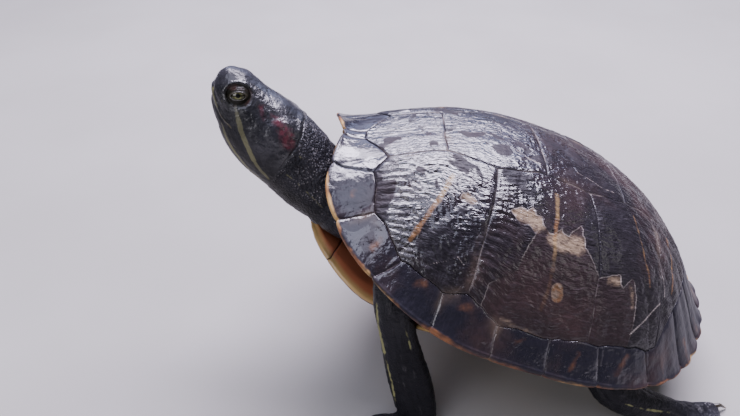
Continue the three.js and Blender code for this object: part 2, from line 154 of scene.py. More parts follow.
def scallop(degrees):
    """How far the rim stands out: one bulge for each marginal scute, the rear ones notched."""
    turn = np.asarray(degrees, float)
    plate = np.clip(np.searchsorted(MARGINAL_SEAM, turn, "right") - 1, 0, 11)
    start = np.take(MARGINAL_SEAM, plate)
    t = np.clip((turn - start) / (np.take(MARGINAL_SEAM, plate + 1) - start), 0, 1)
    arch = np.sqrt(np.sin(np.pi * t).clip(0))
    notch = np.exp(-(((t - 0.5) / 0.13) ** 2))
    out = np.take(MARGINAL_BULGE, plate) * (arch - 0.6) - np.take(MARGINAL_NOTCH, plate) * notch
    return np.where(turn < MARGINAL_SEAM[0], -NUCHAL_NOTCH * turn / MARGINAL_SEAM[0], out)


def rim_radius(angle):
    """Distance of the rim from the shell's centre, at an angle from the front."""
    turn = np.abs(angle)
    return smooth(RIM_RADIUS, turn / np.pi) + scallop(np.degrees(turn))


def rim_height(angle):
    """Height of the rim at an angle from the front."""
    return smooth(RIM_HEIGHT, np.abs(angle) / np.pi)


def dome(share, angle):
    """Height of the carapace at a share of the rim's radius."""
    flare = FLARE_SIDE + (FLARE_END - FLARE_SIDE) * np.cos(angle) ** 2
    rise = (1 - share**DOME_POWER) * (1 - flare * share**FLARE_POWER)
    return rim_height(angle) * share**4 + DOME_HEIGHT * rise


def polar(plan):
    """Share of the rim's radius, and angle from the front, of points in plan."""
    x, y = np.asarray(plan, float)[..., 0], np.asarray(plan, float)[..., 1] - SHELL_CENTRE
    angle = np.arctan2(np.abs(x), -y)
    return np.minimum(np.hypot(x, y) / rim_radius(angle), 1), angle


def on_dome(plan):
    """Points of the carapace over points in plan."""
    share, angle = polar(plan)
    return np.concatenate([np.asarray(plan, float)[..., :2], dome(share, angle)[..., None]], -1)


def dome_normal(plan, reach=0.6):
    """Direction straight out of the carapace over points in plan."""
    plan = np.asarray(plan, float)[..., :2]
    slope_x = on_dome(plan + [reach, 0])[..., 2] - on_dome(plan - [reach, 0])[..., 2]
    slope_y = on_dome(plan + [0, reach])[..., 2] - on_dome(plan - [0, reach])[..., 2]
    normal = np.stack([-slope_x, -slope_y, np.full_like(slope_x, 2 * reach)], -1)
    return normal / np.linalg.norm(normal, axis=-1, keepdims=True)


def plan_at(share, degrees):
    """Plan point at a share of the rim's radius and an angle in degrees from the front."""
    angle = np.radians(degrees)
    radius = share * smooth(RIM_RADIUS, np.asarray(degrees) / 180)
    return np.stack([radius * np.sin(angle), SHELL_CENTRE - radius * np.cos(angle)], -1)


print("dome height at the centre", float(dome(0, 0)), "and at the side rim", float(dome(1, np.pi / 2)))

# %% [markdown]
# ## Shader sums as plain Python
#
# A procedural finish is mostly arithmetic on sockets. Wiring Math nodes by hand hides it, so a small class
# wraps a socket and lets Python's own operators add the nodes. Colours don't go through Math nodes, which
# would turn them grey: they have a Mix method of their own. Every node comes from one method, which sets
# the node up first and then gives its sockets their values or links.

# %% Sockets
class Socket:
    """A node's output that takes part in sums."""

    def __init__(self, finish, output):
        self.finish = finish
        self.output = output

    def math(self, operation, *others):
        return self.finish.node("Math", {"operation": operation}, dict(enumerate((self, *others))))

    def __add__(self, other):
        return self.math("ADD", other)

    def __sub__(self, other):
        return self.math("SUBTRACT", other)

    def __mul__(self, other):
        return self.math("MULTIPLY", other)

    def __rsub__(self, other):
        return self.finish.node("Math", {"operation": "SUBTRACT"}, {0: other, 1: self})

    __radd__ = __add__
    __rmul__ = __mul__

    def rise(self, low, high):
        """0 below low and 1 above high, with a soft change between."""
        settings = {"interpolation_type": "SMOOTHSTEP", "clamp": True}
        return self.finish.node("MapRange", settings, {"Value": self, "From Min": low, "From Max": high})

    def fall(self, low, high):
        return 1 - self.rise(low, high)

    def least(self, other):
        return self.math("MINIMUM", other)

    def most(self, other):
        return self.math("MAXIMUM", other)


print("a socket can be added, taken away and multiplied, and its reflected forms make 1 - mask work")

# %% Finishes
class Finish:
    """A material with its nodes."""

    MIX_A, MIX_B, MIX_RESULT = 6, 7, 2  # the Mix node's sockets for colours

    def __init__(self, name):
        self.material = bpy.data.materials.new(name)
        self.material.use_nodes = True
        self.tree = self.material.node_tree
        self.tree.nodes.clear()

    def node(self, kind, settings=None, values=None, output=0):
        """Adds a node: its settings first, then the values or links of its sockets."""
        made = self.tree.nodes.new("ShaderNode" + kind)
        for key, value in (settings or {}).items():
            setattr(made, key, value)
        for key, value in (values or {}).items():
            if isinstance(value, Socket):
                self.tree.links.new(value.output, made.inputs[key])
            else:
                made.inputs[key].default_value = value
        return Socket(self, made.outputs[output]) if made.outputs else None

    def mix(self, factor, a, b):
        """Colour a where factor is 0, b where it is 1."""
        a, b = (side if isinstance(side, Socket) else (*side, 1) for side in (a, b))
        values = {0: factor, self.MIX_A: a, self.MIX_B: b}
        return self.node("Mix", {"data_type": "RGBA"}, values, self.MIX_RESULT)

    def place(self):
        return self.node("TexCoord", output="Object")

    def scaled(self, vector, scale):
        return self.node("Mapping", values={"Vector": vector, "Scale": scale})

    def vector(self, x, y, z=0):
        return self.node("CombineXYZ", values={"X": x, "Y": y, "Z": z})

    def axis(self, vector, index):
        """One of a vector's three numbers."""
        return self.node("SeparateXYZ", values={"Vector": vector}, output=index)

    def noise(self, vector, scale, detail=3, roughness=0.5, distortion=0):
        values = {"Vector": vector, "Scale": scale, "Detail": detail, "Roughness": roughness}
        return self.node("TexNoise", values={**values, "Distortion": distortion})

    def cells(self, vector, scale, feature="F1"):
        return self.node("TexVoronoi", {"feature": feature}, {"Vector": vector, "Scale": scale}, "Distance")

    def number(self, attribute):
        """A number that the mesh stores at each vertex."""
        return self.node("Attribute", {"attribute_name": attribute}, output="Fac")

    def bump(self, height, distance, strength):
        """Relief from a height. The distance, in metres, is how far a height of 1 stands out."""
        values = {"Height": height, "Distance": distance, "Strength": strength}
        return self.node("Bump", values=values, output="Normal")

    def shader(self, **values):
        """A principled shader. Spaces in socket names are written as _."""
        named = {key.replace("_", " "): value for key, value in values.items()}
        return self.node("BsdfPrincipled", values=named)

    def surface(self, film=None, under_film=None, **values):
        """Ends the material in one shader, or where film is over 0, in a share of a second, wet one."""
        shader = self.shader(**values)
        if film:
            wet = self.shader(**{**values, **under_film})
            shader = self.node("MixShader", values={0: film, 1: shader, 2: wet})
        self.node("OutputMaterial", values={"Surface": shader})
        return self.material


print("a finish has", sum(callable(item) for item in vars(Finish).values()), "methods")

# %% [markdown]
# ## Where the scutes meet
#
# Seams are drawn once, in plan, as rows of corners on the left side. Each scute borrows its sides from
# them, so two neighbours share a line exactly. A slow noise moves every plan point a little before it is
# lifted onto the dome: that makes each seam wander as horn seams do, and still alike on both sides of it.

# %% Seams of the carapace
INNER_ANGLE = [2.2, 17.4, 28.5, 42.3, 55.6, 74.5, 92.5, 109, 126, 143, 157, 169, 180]
INNER_SHARE = [0.89, 0.834, 0.873, 0.906, 0.9, 0.915, 0.905, 0.89, 0.89, 0.79, 0.76, 0.75, 0.76]
V_FRONT = (22, 31)
V_REAR = (27, 215)
V_SEAM = [(20.5, 57), (27, 109), (23.5, 158), (13, 199)]
V_SIDE = [(30, 82), (29.5, 134), (20.3, 180)]
C_FOOT = [plan_at(0.87, 61.4), plan_at(0.886, 104.6), plan_at(0.88, 130)]
INNER = [plan_at(share, degrees) for share, degrees in zip(INNER_SHARE, INNER_ANGLE)]
INNER[12][0] = 0  # on the midline
SEAM_WANDER = 0.7
SEAM_GAP = 0.06  # keeps two neighbours from touching
GRID = 0.7  # how far apart the rows of a scute's grid are


def flip(line):
    """The same line on the other side of the body."""
    return [(-x, y) for x, y in np.asarray(line, float)[:, :2]]


def wander(plan):
    """Moves plan points by a slow noise, the same for every scute that has the point."""
    plan = np.asarray(plan, float)
    flat = np.c_[plan, np.zeros(len(plan))]
    shift = np.stack([clouds(flat, 9, 1) + clouds(flat, 3.5, 2) / 3, clouds(flat, 9, 3)], -1)
    share, _ = polar(plan)
    return plan + SEAM_WANDER * shift * (1 - step(0.93, 1, share))[:, None]


def distance(points, line, count=160):
    """Distance of points on the dome from a line given in plan."""
    dense = on_dome(along(line, np.linspace(0, 1, count)))
    return np.linalg.norm(points[:, None, :] - dense[None, :, :], axis=2).min(1)


def inside(plan, outline):
    """Whether plan points lie inside a closed outline."""
    corners = np.asarray(outline, float)
    within = np.zeros(len(plan), bool)
    for (x0, y0), (x1, y1) in zip(corners, np.roll(corners, -1, 0)):
        crosses = (y0 > plan[:, 1]) != (y1 > plan[:, 1])
        within ^= crosses & (plan[:, 0] < (x1 - x0) * (plan[:, 1] - y0) / (y1 - y0 + 1e-12) + x0)
    return within


print("marginal seams", len(MARGINAL_SEAM), "costal feet", [p.round(1).tolist() for p in C_FOOT])

# %% [markdown]
# ## Marks on the horn
#
# Old sliders lose their pattern. What is left here is a pale stripe down each costal scute, an orange
# blotch on most marginals, flakes where a layer has peeled off, and a few cracks. Paint could be masked
# in the shader, but a line on a dome is awkward there. Instead each vertex stores how deep inside a mark
# it lies, in millimetres, and the shader only has to cut that number sharply and roughen the cut.

# %% Places of the marks, in plan
STRIPES = {  # each mark is a line in plan and its half width
    "costal_1": [([(36.3, 61), (47.3, 57.1), (53.3, 54.1), (63, 48.9)], 1.3)],
    "costal_2": [([(37.7, 114), (52.8, 115), (57.6, 115.6), (63.3, 117.4), (73.8, 119.2), (80, 119)], 1.15)],
    "costal_3": [([(29.6, 162.8), (41.9, 165.5), (51.2, 169.5), (55.7, 173.1), (60, 175.2)], 0.3)],
    "costal_4": [([(24, 193), (38, 195), (52, 196)], 0.6)],
}
BLOTCHES = {
    "marginal_2": [([(41, 19), (42.5, 17.6)], 0.5)],
    "marginal_3": [([(62.5, 35.6), (65, 33.6)], 1.2)],
    "marginal_4": [([(77.8, 57.9), (77.5, 60.1)], 1.5)],
    "marginal_5": [([(83.1, 81.8), (83.1, 84.4)], 1.5)],
    "marginal_6": [([(91.4, 111.4), (89.6, 112.7), (88.6, 116.7)], 0.2)],
    "marginal_7": [([(94.2, 144), (91.6, 144.5), (89.2, 145.9)], 0.2)],
    "marginal_8": [([(90.4, 168.7), (88.1, 170.2), (84.9, 172.8)], 0.9)],
    "marginal_9": [([(77, 197), (86, 206)], 0.2)],
    "marginal_10": [([(60, 217), (68, 229)], 0.7)],
    "marginal_11": [([(40, 232), (45, 243)], 0.5)],
    "marginal_12": [([(14, 232), (17, 244)], 0.7)],
}
SCRATCHES = {
    "costal_1": [
        ([(72.7, 56.9), (71.4, 62), (70.6, 68), (69.2, 71.9), (71.6, 75.7), (70.4, 77.8)], 0.14),
        ([(44.5, 66), (47.5, 70), (50.5, 74.5)], 0.2),
    ],
    "costal_3": [([(61.7, 186), (66, 181.5), (71.4, 176.9), (78.8, 169.3)], 0.42)],
    "costal_4": [([(50, 184.5), (54, 188), (58, 188.5)], 0.2)],
    "vertebral_2": [([(12, 92), (18, 99), (20, 106)], 0.25)],
    "vertebral_3": [([(16, 128), (21, 142), (20, 151)], 0.2)],
}
FLAKES = {  # each flake is an outline in plan
    "costal_2": [
        [(76, 90), (72, 99), (70.7, 101), (67.6, 101.7), (62.3, 103.4), (58.7, 105.2), (54.9, 106.5),
         (53.1, 107.7), (56.2, 112.3), (56, 114.6), (54.3, 116.6), (53, 118.1), (54.5, 119.3), (55.2, 122.6),
         (52.5, 124.4), (51.1, 126.4), (49.2, 128.5), (50.2, 129.7), (52.9, 129.9), (54.4, 131.6),
         (57.5, 132.4), (59.4, 134.8), (62, 138.1), (64.4, 140.1), (68, 146), (74, 150), (94, 150), (94, 90)],
        [(50.6, 91), (48.2, 96), (49.4, 99), (47.6, 101.6), (50.4, 104), (50.2, 107), (55, 108.4),
         (57.4, 104.6), (54.6, 101), (56, 97.4), (53.4, 94)],
    ],
    "costal_3": [
        [(68, 141), (65.9, 145.5), (64, 149.8), (62.7, 154.1), (65.4, 155.6), (66.7, 157.7), (64.1, 160.1),
         (61.6, 162.4), (62.4, 163.8), (64.6, 165.2), (68, 167.7), (71.2, 168), (74.7, 169.2), (80, 170),
         (94, 168), (94, 138), (80, 138)],
    ],
    "costal_1": [[(45.6, 66.6), (47.6, 66), (50.2, 71.4), (49.4, 74.6), (46.4, 72), (45.2, 69)]],
}
TAN_PATCHES = {
    "costal_1": [([(46.5, 68), (48.5, 72)], 2.2)],
    "costal_2": [([(57.6, 115.5), (58.2, 122), (57, 128.5)], 4.6),
                 ([(50.4, 94.5), (51, 100), (53.6, 104.6)], 4.4),
                 ([(84.4, 102), (86.4, 112.4), (88, 126.7)], 0.4)],
    "costal_3": [([(65.4, 150.4), (65.2, 154.4)], 2.2), ([(65.5, 163), (67.9, 165.2), (71, 166)], 0.7)],
}
OVAL_SPOT = {"costal_2": [([(73.4, 123.4), (75.4, 124.7)], 3)]}
print("striped scutes", len(STRIPES), "blotched", len(BLOTCHES), "flaked", len(FLAKES))

# %% How deep inside a mark
OUTSIDE = -9.0


def marks_of(table, kind, side):
    """The marks of a scute from a table, on its own side of the body."""
    found = table.get(kind, [])
    if side == "right":
        found = [flip(m) if isinstance(m, list) else (flip(m[0]), m[1]) for m in found]
    return found


def depth_in_lines(points, lines):
    """How deep inside the nearest of some broad lines each point lies, negative outside."""
    depth = np.full(len(points), OUTSIDE)
    for line, half_width in lines:
        depth = np.maximum(depth, half_width - distance(points, line))
    return depth


def depth_in_flakes(points, outlines):
    """How deep inside a flake's outline each point lies, negative outside."""
    depth = np.full(len(points), OUTSIDE)
    for outline in outlines:
        closed = [*outline, outline[0]]
        away = distance(points, closed, 400)
        depth = np.maximum(depth, np.where(inside(points[:, :2], outline), away, -away))
    return depth


on_line = on_dome(np.array(C_FOOT[:1]))
print("on a mark's own line its depth is half its width:", depth_in_lines(on_line, [(C_FOOT[:2], 1.3)]))

# %% [markdown]
# ## One scute of the dome
#
# A scute could be cut out of one big shell, but then its surface lines would run across it anyhow. Horn
# grows from one corner, and all its wrinkles and rings follow the seams. So each scute starts as a square
# grid whose four sides are bent onto its four seams, with the inside blended between them: a Coons patch.
# The grid's rows then run the way wrinkles do, and the relief is a plain function of row and column.
# The wall under the edge comes from extruding the open edge twice downwards, then once to a single point.

# %% A grid bent onto four seams
def coons(u, v, front, rear, top, bottom):
    """Plan points blended between four sides. u runs from front to rear, v from top to bottom."""
    u1, v1 = u[:, None], v[:, None]
    a, b = np.asarray(top[0], float)[:2], np.asarray(top[-1], float)[:2]
    d, c = np.asarray(bottom[0], float)[:2], np.asarray(bottom[-1], float)[:2]
    sides = (1 - u1) * along(front, v) + u1 * along(rear, v)
    sides = sides + (1 - v1) * along(top, u) + v1 * along(bottom, u)
    corners = (1 - u1) * ((1 - v1) * a + v1 * d) + u1 * ((1 - v1) * b + v1 * c)
    return sides - corners


def length(line):
    """Length of a plan line on the dome."""
    points = on_dome(along(line, np.linspace(0, 1, 30)))
    return float(np.linalg.norm(np.diff(points, axis=0), axis=1).sum())


def crowd(t, count, share=0.35):
    """Moves a grid's second and last but one row close to its border, so that a seam stays narrow."""
    row = np.round(t * count)
    return np.where(row == 1, share / count, np.where(row == count - 1, 1 - share / count, t))


print("the first costal's front seam is", round(length([V_FRONT, *INNER[1:4]]), 1), "mm long")

# %% Height of the horn
def ridged(points, size, seed):
    """Noise with sharp crests that rise to 1."""
    return 1 - 3.2 * np.abs(clouds(points, size, seed))


def wrinkles(grain, points, spacing, front, oblique):
    """Height of the horn's wrinkles: strong ones at the front seam, finer oblique ones behind."""
    back, down = grain[:, 0], grain[:, 1]
    sway = 0.55 * clouds(points, 16, 5) + 0.12 * clouds(points, 4, 6)
    wave = 0.5 + 0.5 * np.sin(2 * np.pi * (down / spacing + sway))
    uneven = 0.75 + 0.6 * clouds(points * [0.5, 0.5, 1], 6, 4)
    reach = 14.5 * (1 + 0.3 * clouds(points, 13, 7))
    strong = front * uneven * (wave**1.5 - 0.4) * (1 - step(reach, reach + 3, back)) * step(0.3, 2, back)
    strong -= 0.4 * front * np.exp(-(((back - reach - 2) / 0.9) ** 2))
    stretched = np.c_[back / 7, down / 2.4, np.zeros(len(back))]
    fine = 0.17 * clouds(stretched, 1, 8) + 0.06 * ridged(stretched * [1.7, 1.9, 1], 1, 13)
    slant = np.c_[(back * 0.8 + down) / 7, (down - back * 0.8) / 2.4, np.zeros(len(back))]
    slant += 0.5 * clouds(points, 9, 14)[:, None]
    middle = step(8, 14, back) * oblique * (0.55 * ridged(slant, 1, 9) + 0.4 * ridged(slant * 2.1, 1, 15))
    return strong + fine + middle


def relief(points, grain, edge, flake, spacing, front, oblique):
    """Height of a scute's face over the dome, in millimetres."""
    lip = -0.24 * np.exp(-edge / 0.26) - 0.05 * np.exp(-edge / 3)
    ring = 0.05 * np.sin(edge * 2.4 + 2 * clouds(points, 13, 10)) * np.exp(-edge / 9)
    swell = 0.42 * clouds(points, 15, 11) + 0.16 * clouds(points, 6, 12) + 0.1 * clouds(points, 2.8, 16)
    peeled = -0.22 * step(-0.35, 0.1, flake)
    quiet = step(0.2, 2.2, edge)
    return lip + ring + quiet * (swell + wrinkles(grain, points, spacing, front, oblique)) + peeled


print("crests of the ridged noise rise to", round(float(ridged(np.zeros((1, 3)), 1, 0)[0]), 2))

# %% From a grid to a finished piece
WELD = 1e-4


def places(bm):
    """Where the vertices are, as rows of an array."""
    return np.array([vertex.co for vertex in bm.verts])


def tree_of(points):
    """A search tree that finds the nearest of some points."""
    tree = kdtree.KDTree(len(points))
    for i, point in enumerate(points):
        tree.insert(point, i)
    tree.balance()
    return tree


def store(bm, values):
    """Keeps one number for each vertex, by name."""
    for name, numbers in values.items():
        layer = bm.verts.layers.float.new(name)
        for vertex, number in zip(bm.verts, numbers):
            vertex[layer] = float(number)


def move_to(verts, points):
    """Moves each vertex to its point."""
    for vertex, point in zip(verts, points):
        vertex.co = point


def close_under(bm, wall=2.6, depth=6):
    """Walls down from the open edge, then a flat cone to one point under the middle."""
    rim = [edge for edge in bm.edges if edge.is_boundary]
    for drop in (0.5, wall):
        made = bmesh.ops.extrude_edge_only(bm, edges=rim)["geom"]
        fresh = [item for item in made if isinstance(item, bmesh.types.BMVert)]
        rim = [item for item in made if isinstance(item, bmesh.types.BMEdge) and item.is_boundary]
        points = np.array([vertex.co for vertex in fresh])
        move_to(fresh, points - drop * dome_normal(points))
    made = bmesh.ops.extrude_edge_only(bm, edges=rim)["geom"]
    fresh = [item for item in made if isinstance(item, bmesh.types.BMVert)]
    middle = on_dome(np.array([vertex.co for vertex in fresh]).mean(0)[None, :2])[0] - [0, 0, depth]
    bmesh.ops.pointmerge(bm, verts=fresh, merge_co=middle)


def piece(name, bm, matrix, material, nodes=()):
    """Turns a bmesh in its own frame into a finished object of the model."""
    bmesh.ops.remove_doubles(bm, verts=bm.verts, dist=WELD)
    bmesh.ops.recalc_face_normals(bm, faces=bm.faces)
    bmesh.ops.transform(bm, matrix=matrix, verts=bm.verts)
    mesh = bpy.data.meshes.new(name)
    bm.to_mesh(mesh)
    bm.free()
    mesh.shade_smooth()
    mesh.materials.append(material)
    made = bpy.data.objects.new(name, mesh)
    bpy.context.scene.collection.objects.link(made)
    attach(made, "root")
    if nodes:
        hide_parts(*nodes)
    return made


def names_of(kind, side):
    """Names of a scute's piece and of the node that it replaces."""
    if side == "middle":
        return f"horn_{kind}", f"scute_{kind}"
    family, number = kind.split("_")
    return f"horn_{kind}_{side}", f"scute_{family}_{side}_{number}"


print("for example", names_of("costal_1", "left"))

# %% One scute of the dome
def scute(kind, side, seams, material, spacing=3, front=0.0, oblique=0.0):
    """One scute of the dome, between its front, rear, top and bottom seams."""
    across = max(length(seams[0]), length(seams[1]))
    back = max(length(seams[2]), length(seams[3]))
    bm = bmesh.new()
    columns, rows = int(back / GRID), int(across / GRID)
    bmesh.ops.create_grid(bm, x_segments=columns, y_segments=rows, size=0.5)
    flat = places(bm) + 0.5
    flat = np.stack([crowd(flat[:, 0], columns), crowd(flat[:, 1], rows)], 1)
    plan = coons(flat[:, 0], flat[:, 1], *seams)
    border = np.array([vertex.is_boundary for vertex in bm.verts])
    plan = wander(plan)
    plan[border] += SEAM_GAP / 2 * np.sign(plan.mean(0) - plan[border])
    points = on_dome(plan)
    grain = flat * [back, across]
    tree = tree_of(points[border])
    edge = np.array([tree.find(point)[2] for point in points])
    flake = depth_in_flakes(points, marks_of(FLAKES, kind, side))
    height = relief(points, grain, edge, flake, spacing, front, oblique)
    move_to(bm.verts, points + height[:, None] * dome_normal(plan))
    store(bm, {
        "edge": edge,
        "flake": flake,
        "stripe": depth_in_lines(points, marks_of(STRIPES, kind, side)),
        "scratch": depth_in_lines(points, marks_of(SCRATCHES, kind, side)),
        "spot": depth_in_lines(points, marks_of(OVAL_SPOT, kind, side)),
        "tan": depth_in_lines(points, marks_of(TAN_PATCHES, kind, side)),
        "back": grain[:, 0],
        "down": grain[:, 1],
    })
    close_under(bm)
    name, node = names_of(kind, side)
    return piece(name, bm, SHELL, material, [node])


print("grid step", GRID, "mm")

# %% [markdown]
# ## Wet horn
#
# The horn of a basking slider is nearly black, brown where it is thin, and it shines: a film of water
# lies on it, broken into patches as it dries. The colour is mixed from broad clouds, streaks along the
# wrinkles, and the marks. The film could be the shader's coat, but a coat over dry horn only adds a faint
# second glint. So the material holds two shaders, dry horn and a smoother, more strongly mirroring wet
# one, and a mask with torn borders mixes them. Both share one bump of small crinkles, a few millimetres
# apart, so a highlight breaks up as it does on the real shell.

# %% Colours and water of the horn
HORN_DARK = (0.016, 0.013, 0.016)
HORN_WET = (0.009, 0.008, 0.0135)
HORN_BROWN = (0.052, 0.030, 0.030)
HORN_GREY = (0.066, 0.056, 0.066)
RIM_GREY = (0.017, 0.0155, 0.024)
TAN = (0.30, 0.215, 0.145)
SEAM_PALE = (0.42, 0.36, 0.33)
STRIPE_ORANGE = (0.27, 0.135, 0.055)
STRIPE_YELLOW = (0.40, 0.26, 0.115)
BLOTCH_ORANGE = (0.30, 0.125, 0.05)
RIM_YELLOW = (0.58, 0.36, 0.13)
# The plastron's yellow is darker than the rim's yellow as painted shade, since the plastron lies in shade.
PLASTRON_YELLOW_IN_SHADE = (0.50, 0.33, 0.13)
PLASTRON_ORANGE = (0.40, 0.13, 0.06)
DRY_IOR = 1.3
WET_IOR = 1.85
WET_ROUGHNESS = 0.15
DRY_TO_WET = (0.085, 0.15)  # heights over the floor, in metres, between which the film grows
FRONT_RIM = (-0.05, 0.0)  # the front's broad yellow band fades between these places along the body
REAR_RIM = (0.05, 0.085)  # and the rear's grows between these
print("horn reflects", HORN_DARK, "low down and", HORN_WET, "on top, under the film")

# %% Marks in the finish
def worn_and_lit_edge(f, place, edge, colour, pale):
    """Pale horn along the seams, partly worn horn and partly a painted highlight where the seam edges catch
    light, and dust beside them.
    """
    broken = f.noise(place, 95, detail=3).rise(0.44, 0.58) * f.noise(place, 24, detail=2).rise(0.38, 0.58)
    # Pale seam lines: partly worn horn, partly a painted highlight of seam edges catching light.
    colour = f.mix(edge.fall(0.0, 0.45) * broken * pale, colour, SEAM_PALE)
    dust = edge.fall(0.5, 5) * f.noise(place, 33, detail=4).rise(0.54, 0.72)
    return f.mix(dust * 0.3, colour, TAN)


def dome_marks(f, place, ragged, broad, streaks, colour):
    """Flakes, stripes, the oval spot and cracks of the dome. Gives the colour and where it is dusty."""
    flake = f.number("flake") + (f.noise(place, 420, detail=2) - 0.5) * 1.2
    peeled = flake.rise(-0.12, 0.12)
    tan = (f.number("tan") + ragged * 6).rise(-1.6, 2.6)
    cracks = 1 - f.noise(f.scaled(place, (900, 260, 900)), 1.0, detail=3).rise(0.5, 0.62) * 0.6
    dusty = peeled * tan * (0.55 + streaks * 0.8) * cracks
    colour = f.mix(peeled * 0.35, colour, HORN_BROWN)
    colour = f.mix(dusty.least(0.9), colour, TAN)
    uneven = f.noise(place, 60)
    torn = flake.rise(-0.55, -0.15) * flake.fall(0.0, 0.35) * uneven.rise(0.36, 0.5).most(tan)
    colour = f.mix(torn * (0.35 + tan * 0.65), colour, SEAM_PALE)
    stripe = f.number("stripe") + ragged * 2.4
    stripe_colour = f.mix(uneven.rise(0.42, 0.6), STRIPE_ORANGE, STRIPE_YELLOW)
    kept = 0.8 - broad.rise(0.40, 0.7) * 0.5 - streaks.rise(0.48, 0.65) * 0.3
    striped = stripe.rise(-0.5, 0.9) * (kept * (1 - flake.rise(1, 14) * 0.75))
    colour = f.mix(striped, colour, stripe_colour)
    spot = f.number("spot") + ragged * 1.2
    spotted = f.mix(f.noise(place, 300).rise(0.4, 0.6), STRIPE_ORANGE, TAN)
    colour = f.mix(spot.rise(-0.5, 0.5) * 0.5, colour, spotted)
    scratch = f.number("scratch") + ragged * 0.6
    return f.mix(scratch.rise(-0.15, 0.12) * 0.65, colour, SEAM_PALE), dusty.most(striped * 0.7)


def rim_marks(f, place, ragged, colour):
    """Orange blotches on the rim's scutes, their yellow edge and their yellow under side."""
    blotch = f.number("blotch") + ragged * 6
    torn = f.noise(place, 170, detail=3).rise(0.36, 0.62)
    colour = f.mix(blotch.rise(-1.6, 1.8) * (0.08 + torn * 0.3), colour, BLOTCH_ORANGE)
    rim = f.number("rim")
    wave = f.noise(place, 55, detail=4)
    back = f.axis(place, 1)
    broad_rim = back.fall(*FRONT_RIM).most(back.rise(*REAR_RIM))
    band = (rim - wave.rise(0.35, 0.7) * (0.1 + broad_rim * 1.9) + ragged * 2).fall(-1.0, 0.4)
    edge_colour = f.mix(f.noise(place, 38, detail=2).rise(0.42, 0.58), RIM_YELLOW, BLOTCH_ORANGE)
    colour = f.mix(band * (0.2 + wave.rise(0.38, 0.55) * 0.6), colour, edge_colour)
    below = rim.fall(-2.4, -1.4)
    smudge = f.noise(place, 42, detail=3).rise(0.5, 0.6)
    return f.mix(below, colour, f.mix(smudge, RIM_YELLOW, HORN_BROWN))


print("colours of a mark:", STRIPE_ORANGE, "to", STRIPE_YELLOW)

# %% Film of water
def water(f, place):
    """Where a film of water lies: 1 on the film, 0 on dry spots with sharp borders."""
    sheet = f.noise(place, 26, detail=5, roughness=0.6, distortion=0.5).rise(0.36, 0.43)
    spots = f.noise(place, 85, detail=2, distortion=0.5).fall(0.555, 0.60)
    return sheet * spots


print("under the film the horn mirrors as with an IOR of", WET_IOR, "instead of", DRY_IOR)

# %% Horn of dome and rim
def horn_finish(kind):
    """The finish of the dome's scutes or of the rim's, which differ in marks and in their film."""
    f = Finish(f"wet_horn_{kind}")
    place = f.place()
    along_growth = 0.16 if kind == "dome" else 0.45
    grain = f.vector(f.number("back") * along_growth, f.number("down") * 0.9)
    streaks = f.noise(grain, 1.0, detail=4)
    broad = f.noise(place, 24, detail=5, roughness=0.6)
    fine = f.noise(place, 190, detail=4)
    ragged = fine - 0.5
    colour = f.mix(broad.rise(0.42, 0.7), HORN_DARK if kind == "dome" else RIM_GREY, HORN_BROWN)
    colour = f.mix(streaks.rise(0.52, 0.72) * (0.5 if kind == "dome" else 0.2), colour, HORN_GREY)
    high = f.axis(place, 2).rise(*DRY_TO_WET)
    colour = f.mix(high * 0.6, colour, HORN_WET)
    if kind == "dome":
        colour, dusty = dome_marks(f, place, ragged, broad, streaks, colour)
    else:
        colour, dusty = rim_marks(f, place, ragged, colour), 0
    colour = worn_and_lit_edge(f, place, f.number("edge"), colour, 0.5 if kind == "dome" else 0.3)
    wet = water(f, place) * (1 - dusty * 0.9)
    wet = wet * (0.15 + f.number("edge").rise(0.15, 0.8) * 0.85)
    if kind == "dome":
        crinkle = 1 - (f.noise(f.scaled(grain, (0.8, 0.5, 1)), 1.0, detail=2) - 0.5).math("ABSOLUTE") * 4
        height = streaks * 0.4 + crinkle * 0.45 + f.noise(grain, 3.4, detail=2) * 0.1 + fine * 1.3
        height = height + f.noise(place, 560, detail=2) * 0.15
        film = wet * (0.3 + high * 0.65)
    else:
        height = fine * 1.3 + f.noise(place, 330, detail=2) * 0.4 + f.noise(place, 80, detail=3) * 0.9
        forward = 0.15 + f.axis(place, 1).fall(*REAR_RIM) * 0.7
        film = (0.5 + wet * 0.5) * forward * f.number("rim").rise(0.8, 2.2)
    bump = f.bump(height, 0.00055, 0.9)
    return f.surface(
        film, {"Roughness": WET_ROUGHNESS + ragged * 0.2, "IOR": WET_IOR},
        Base_Color=colour, Roughness=0.48 + dusty * 0.25 + ragged * 0.15, Normal=bump, IOR=DRY_IOR,
    )


horn, rim_horn = horn_finish("dome"), horn_finish("rim")
print("horn finishes have", [len(m.node_tree.nodes) for m in (horn, rim_horn)], "nodes")

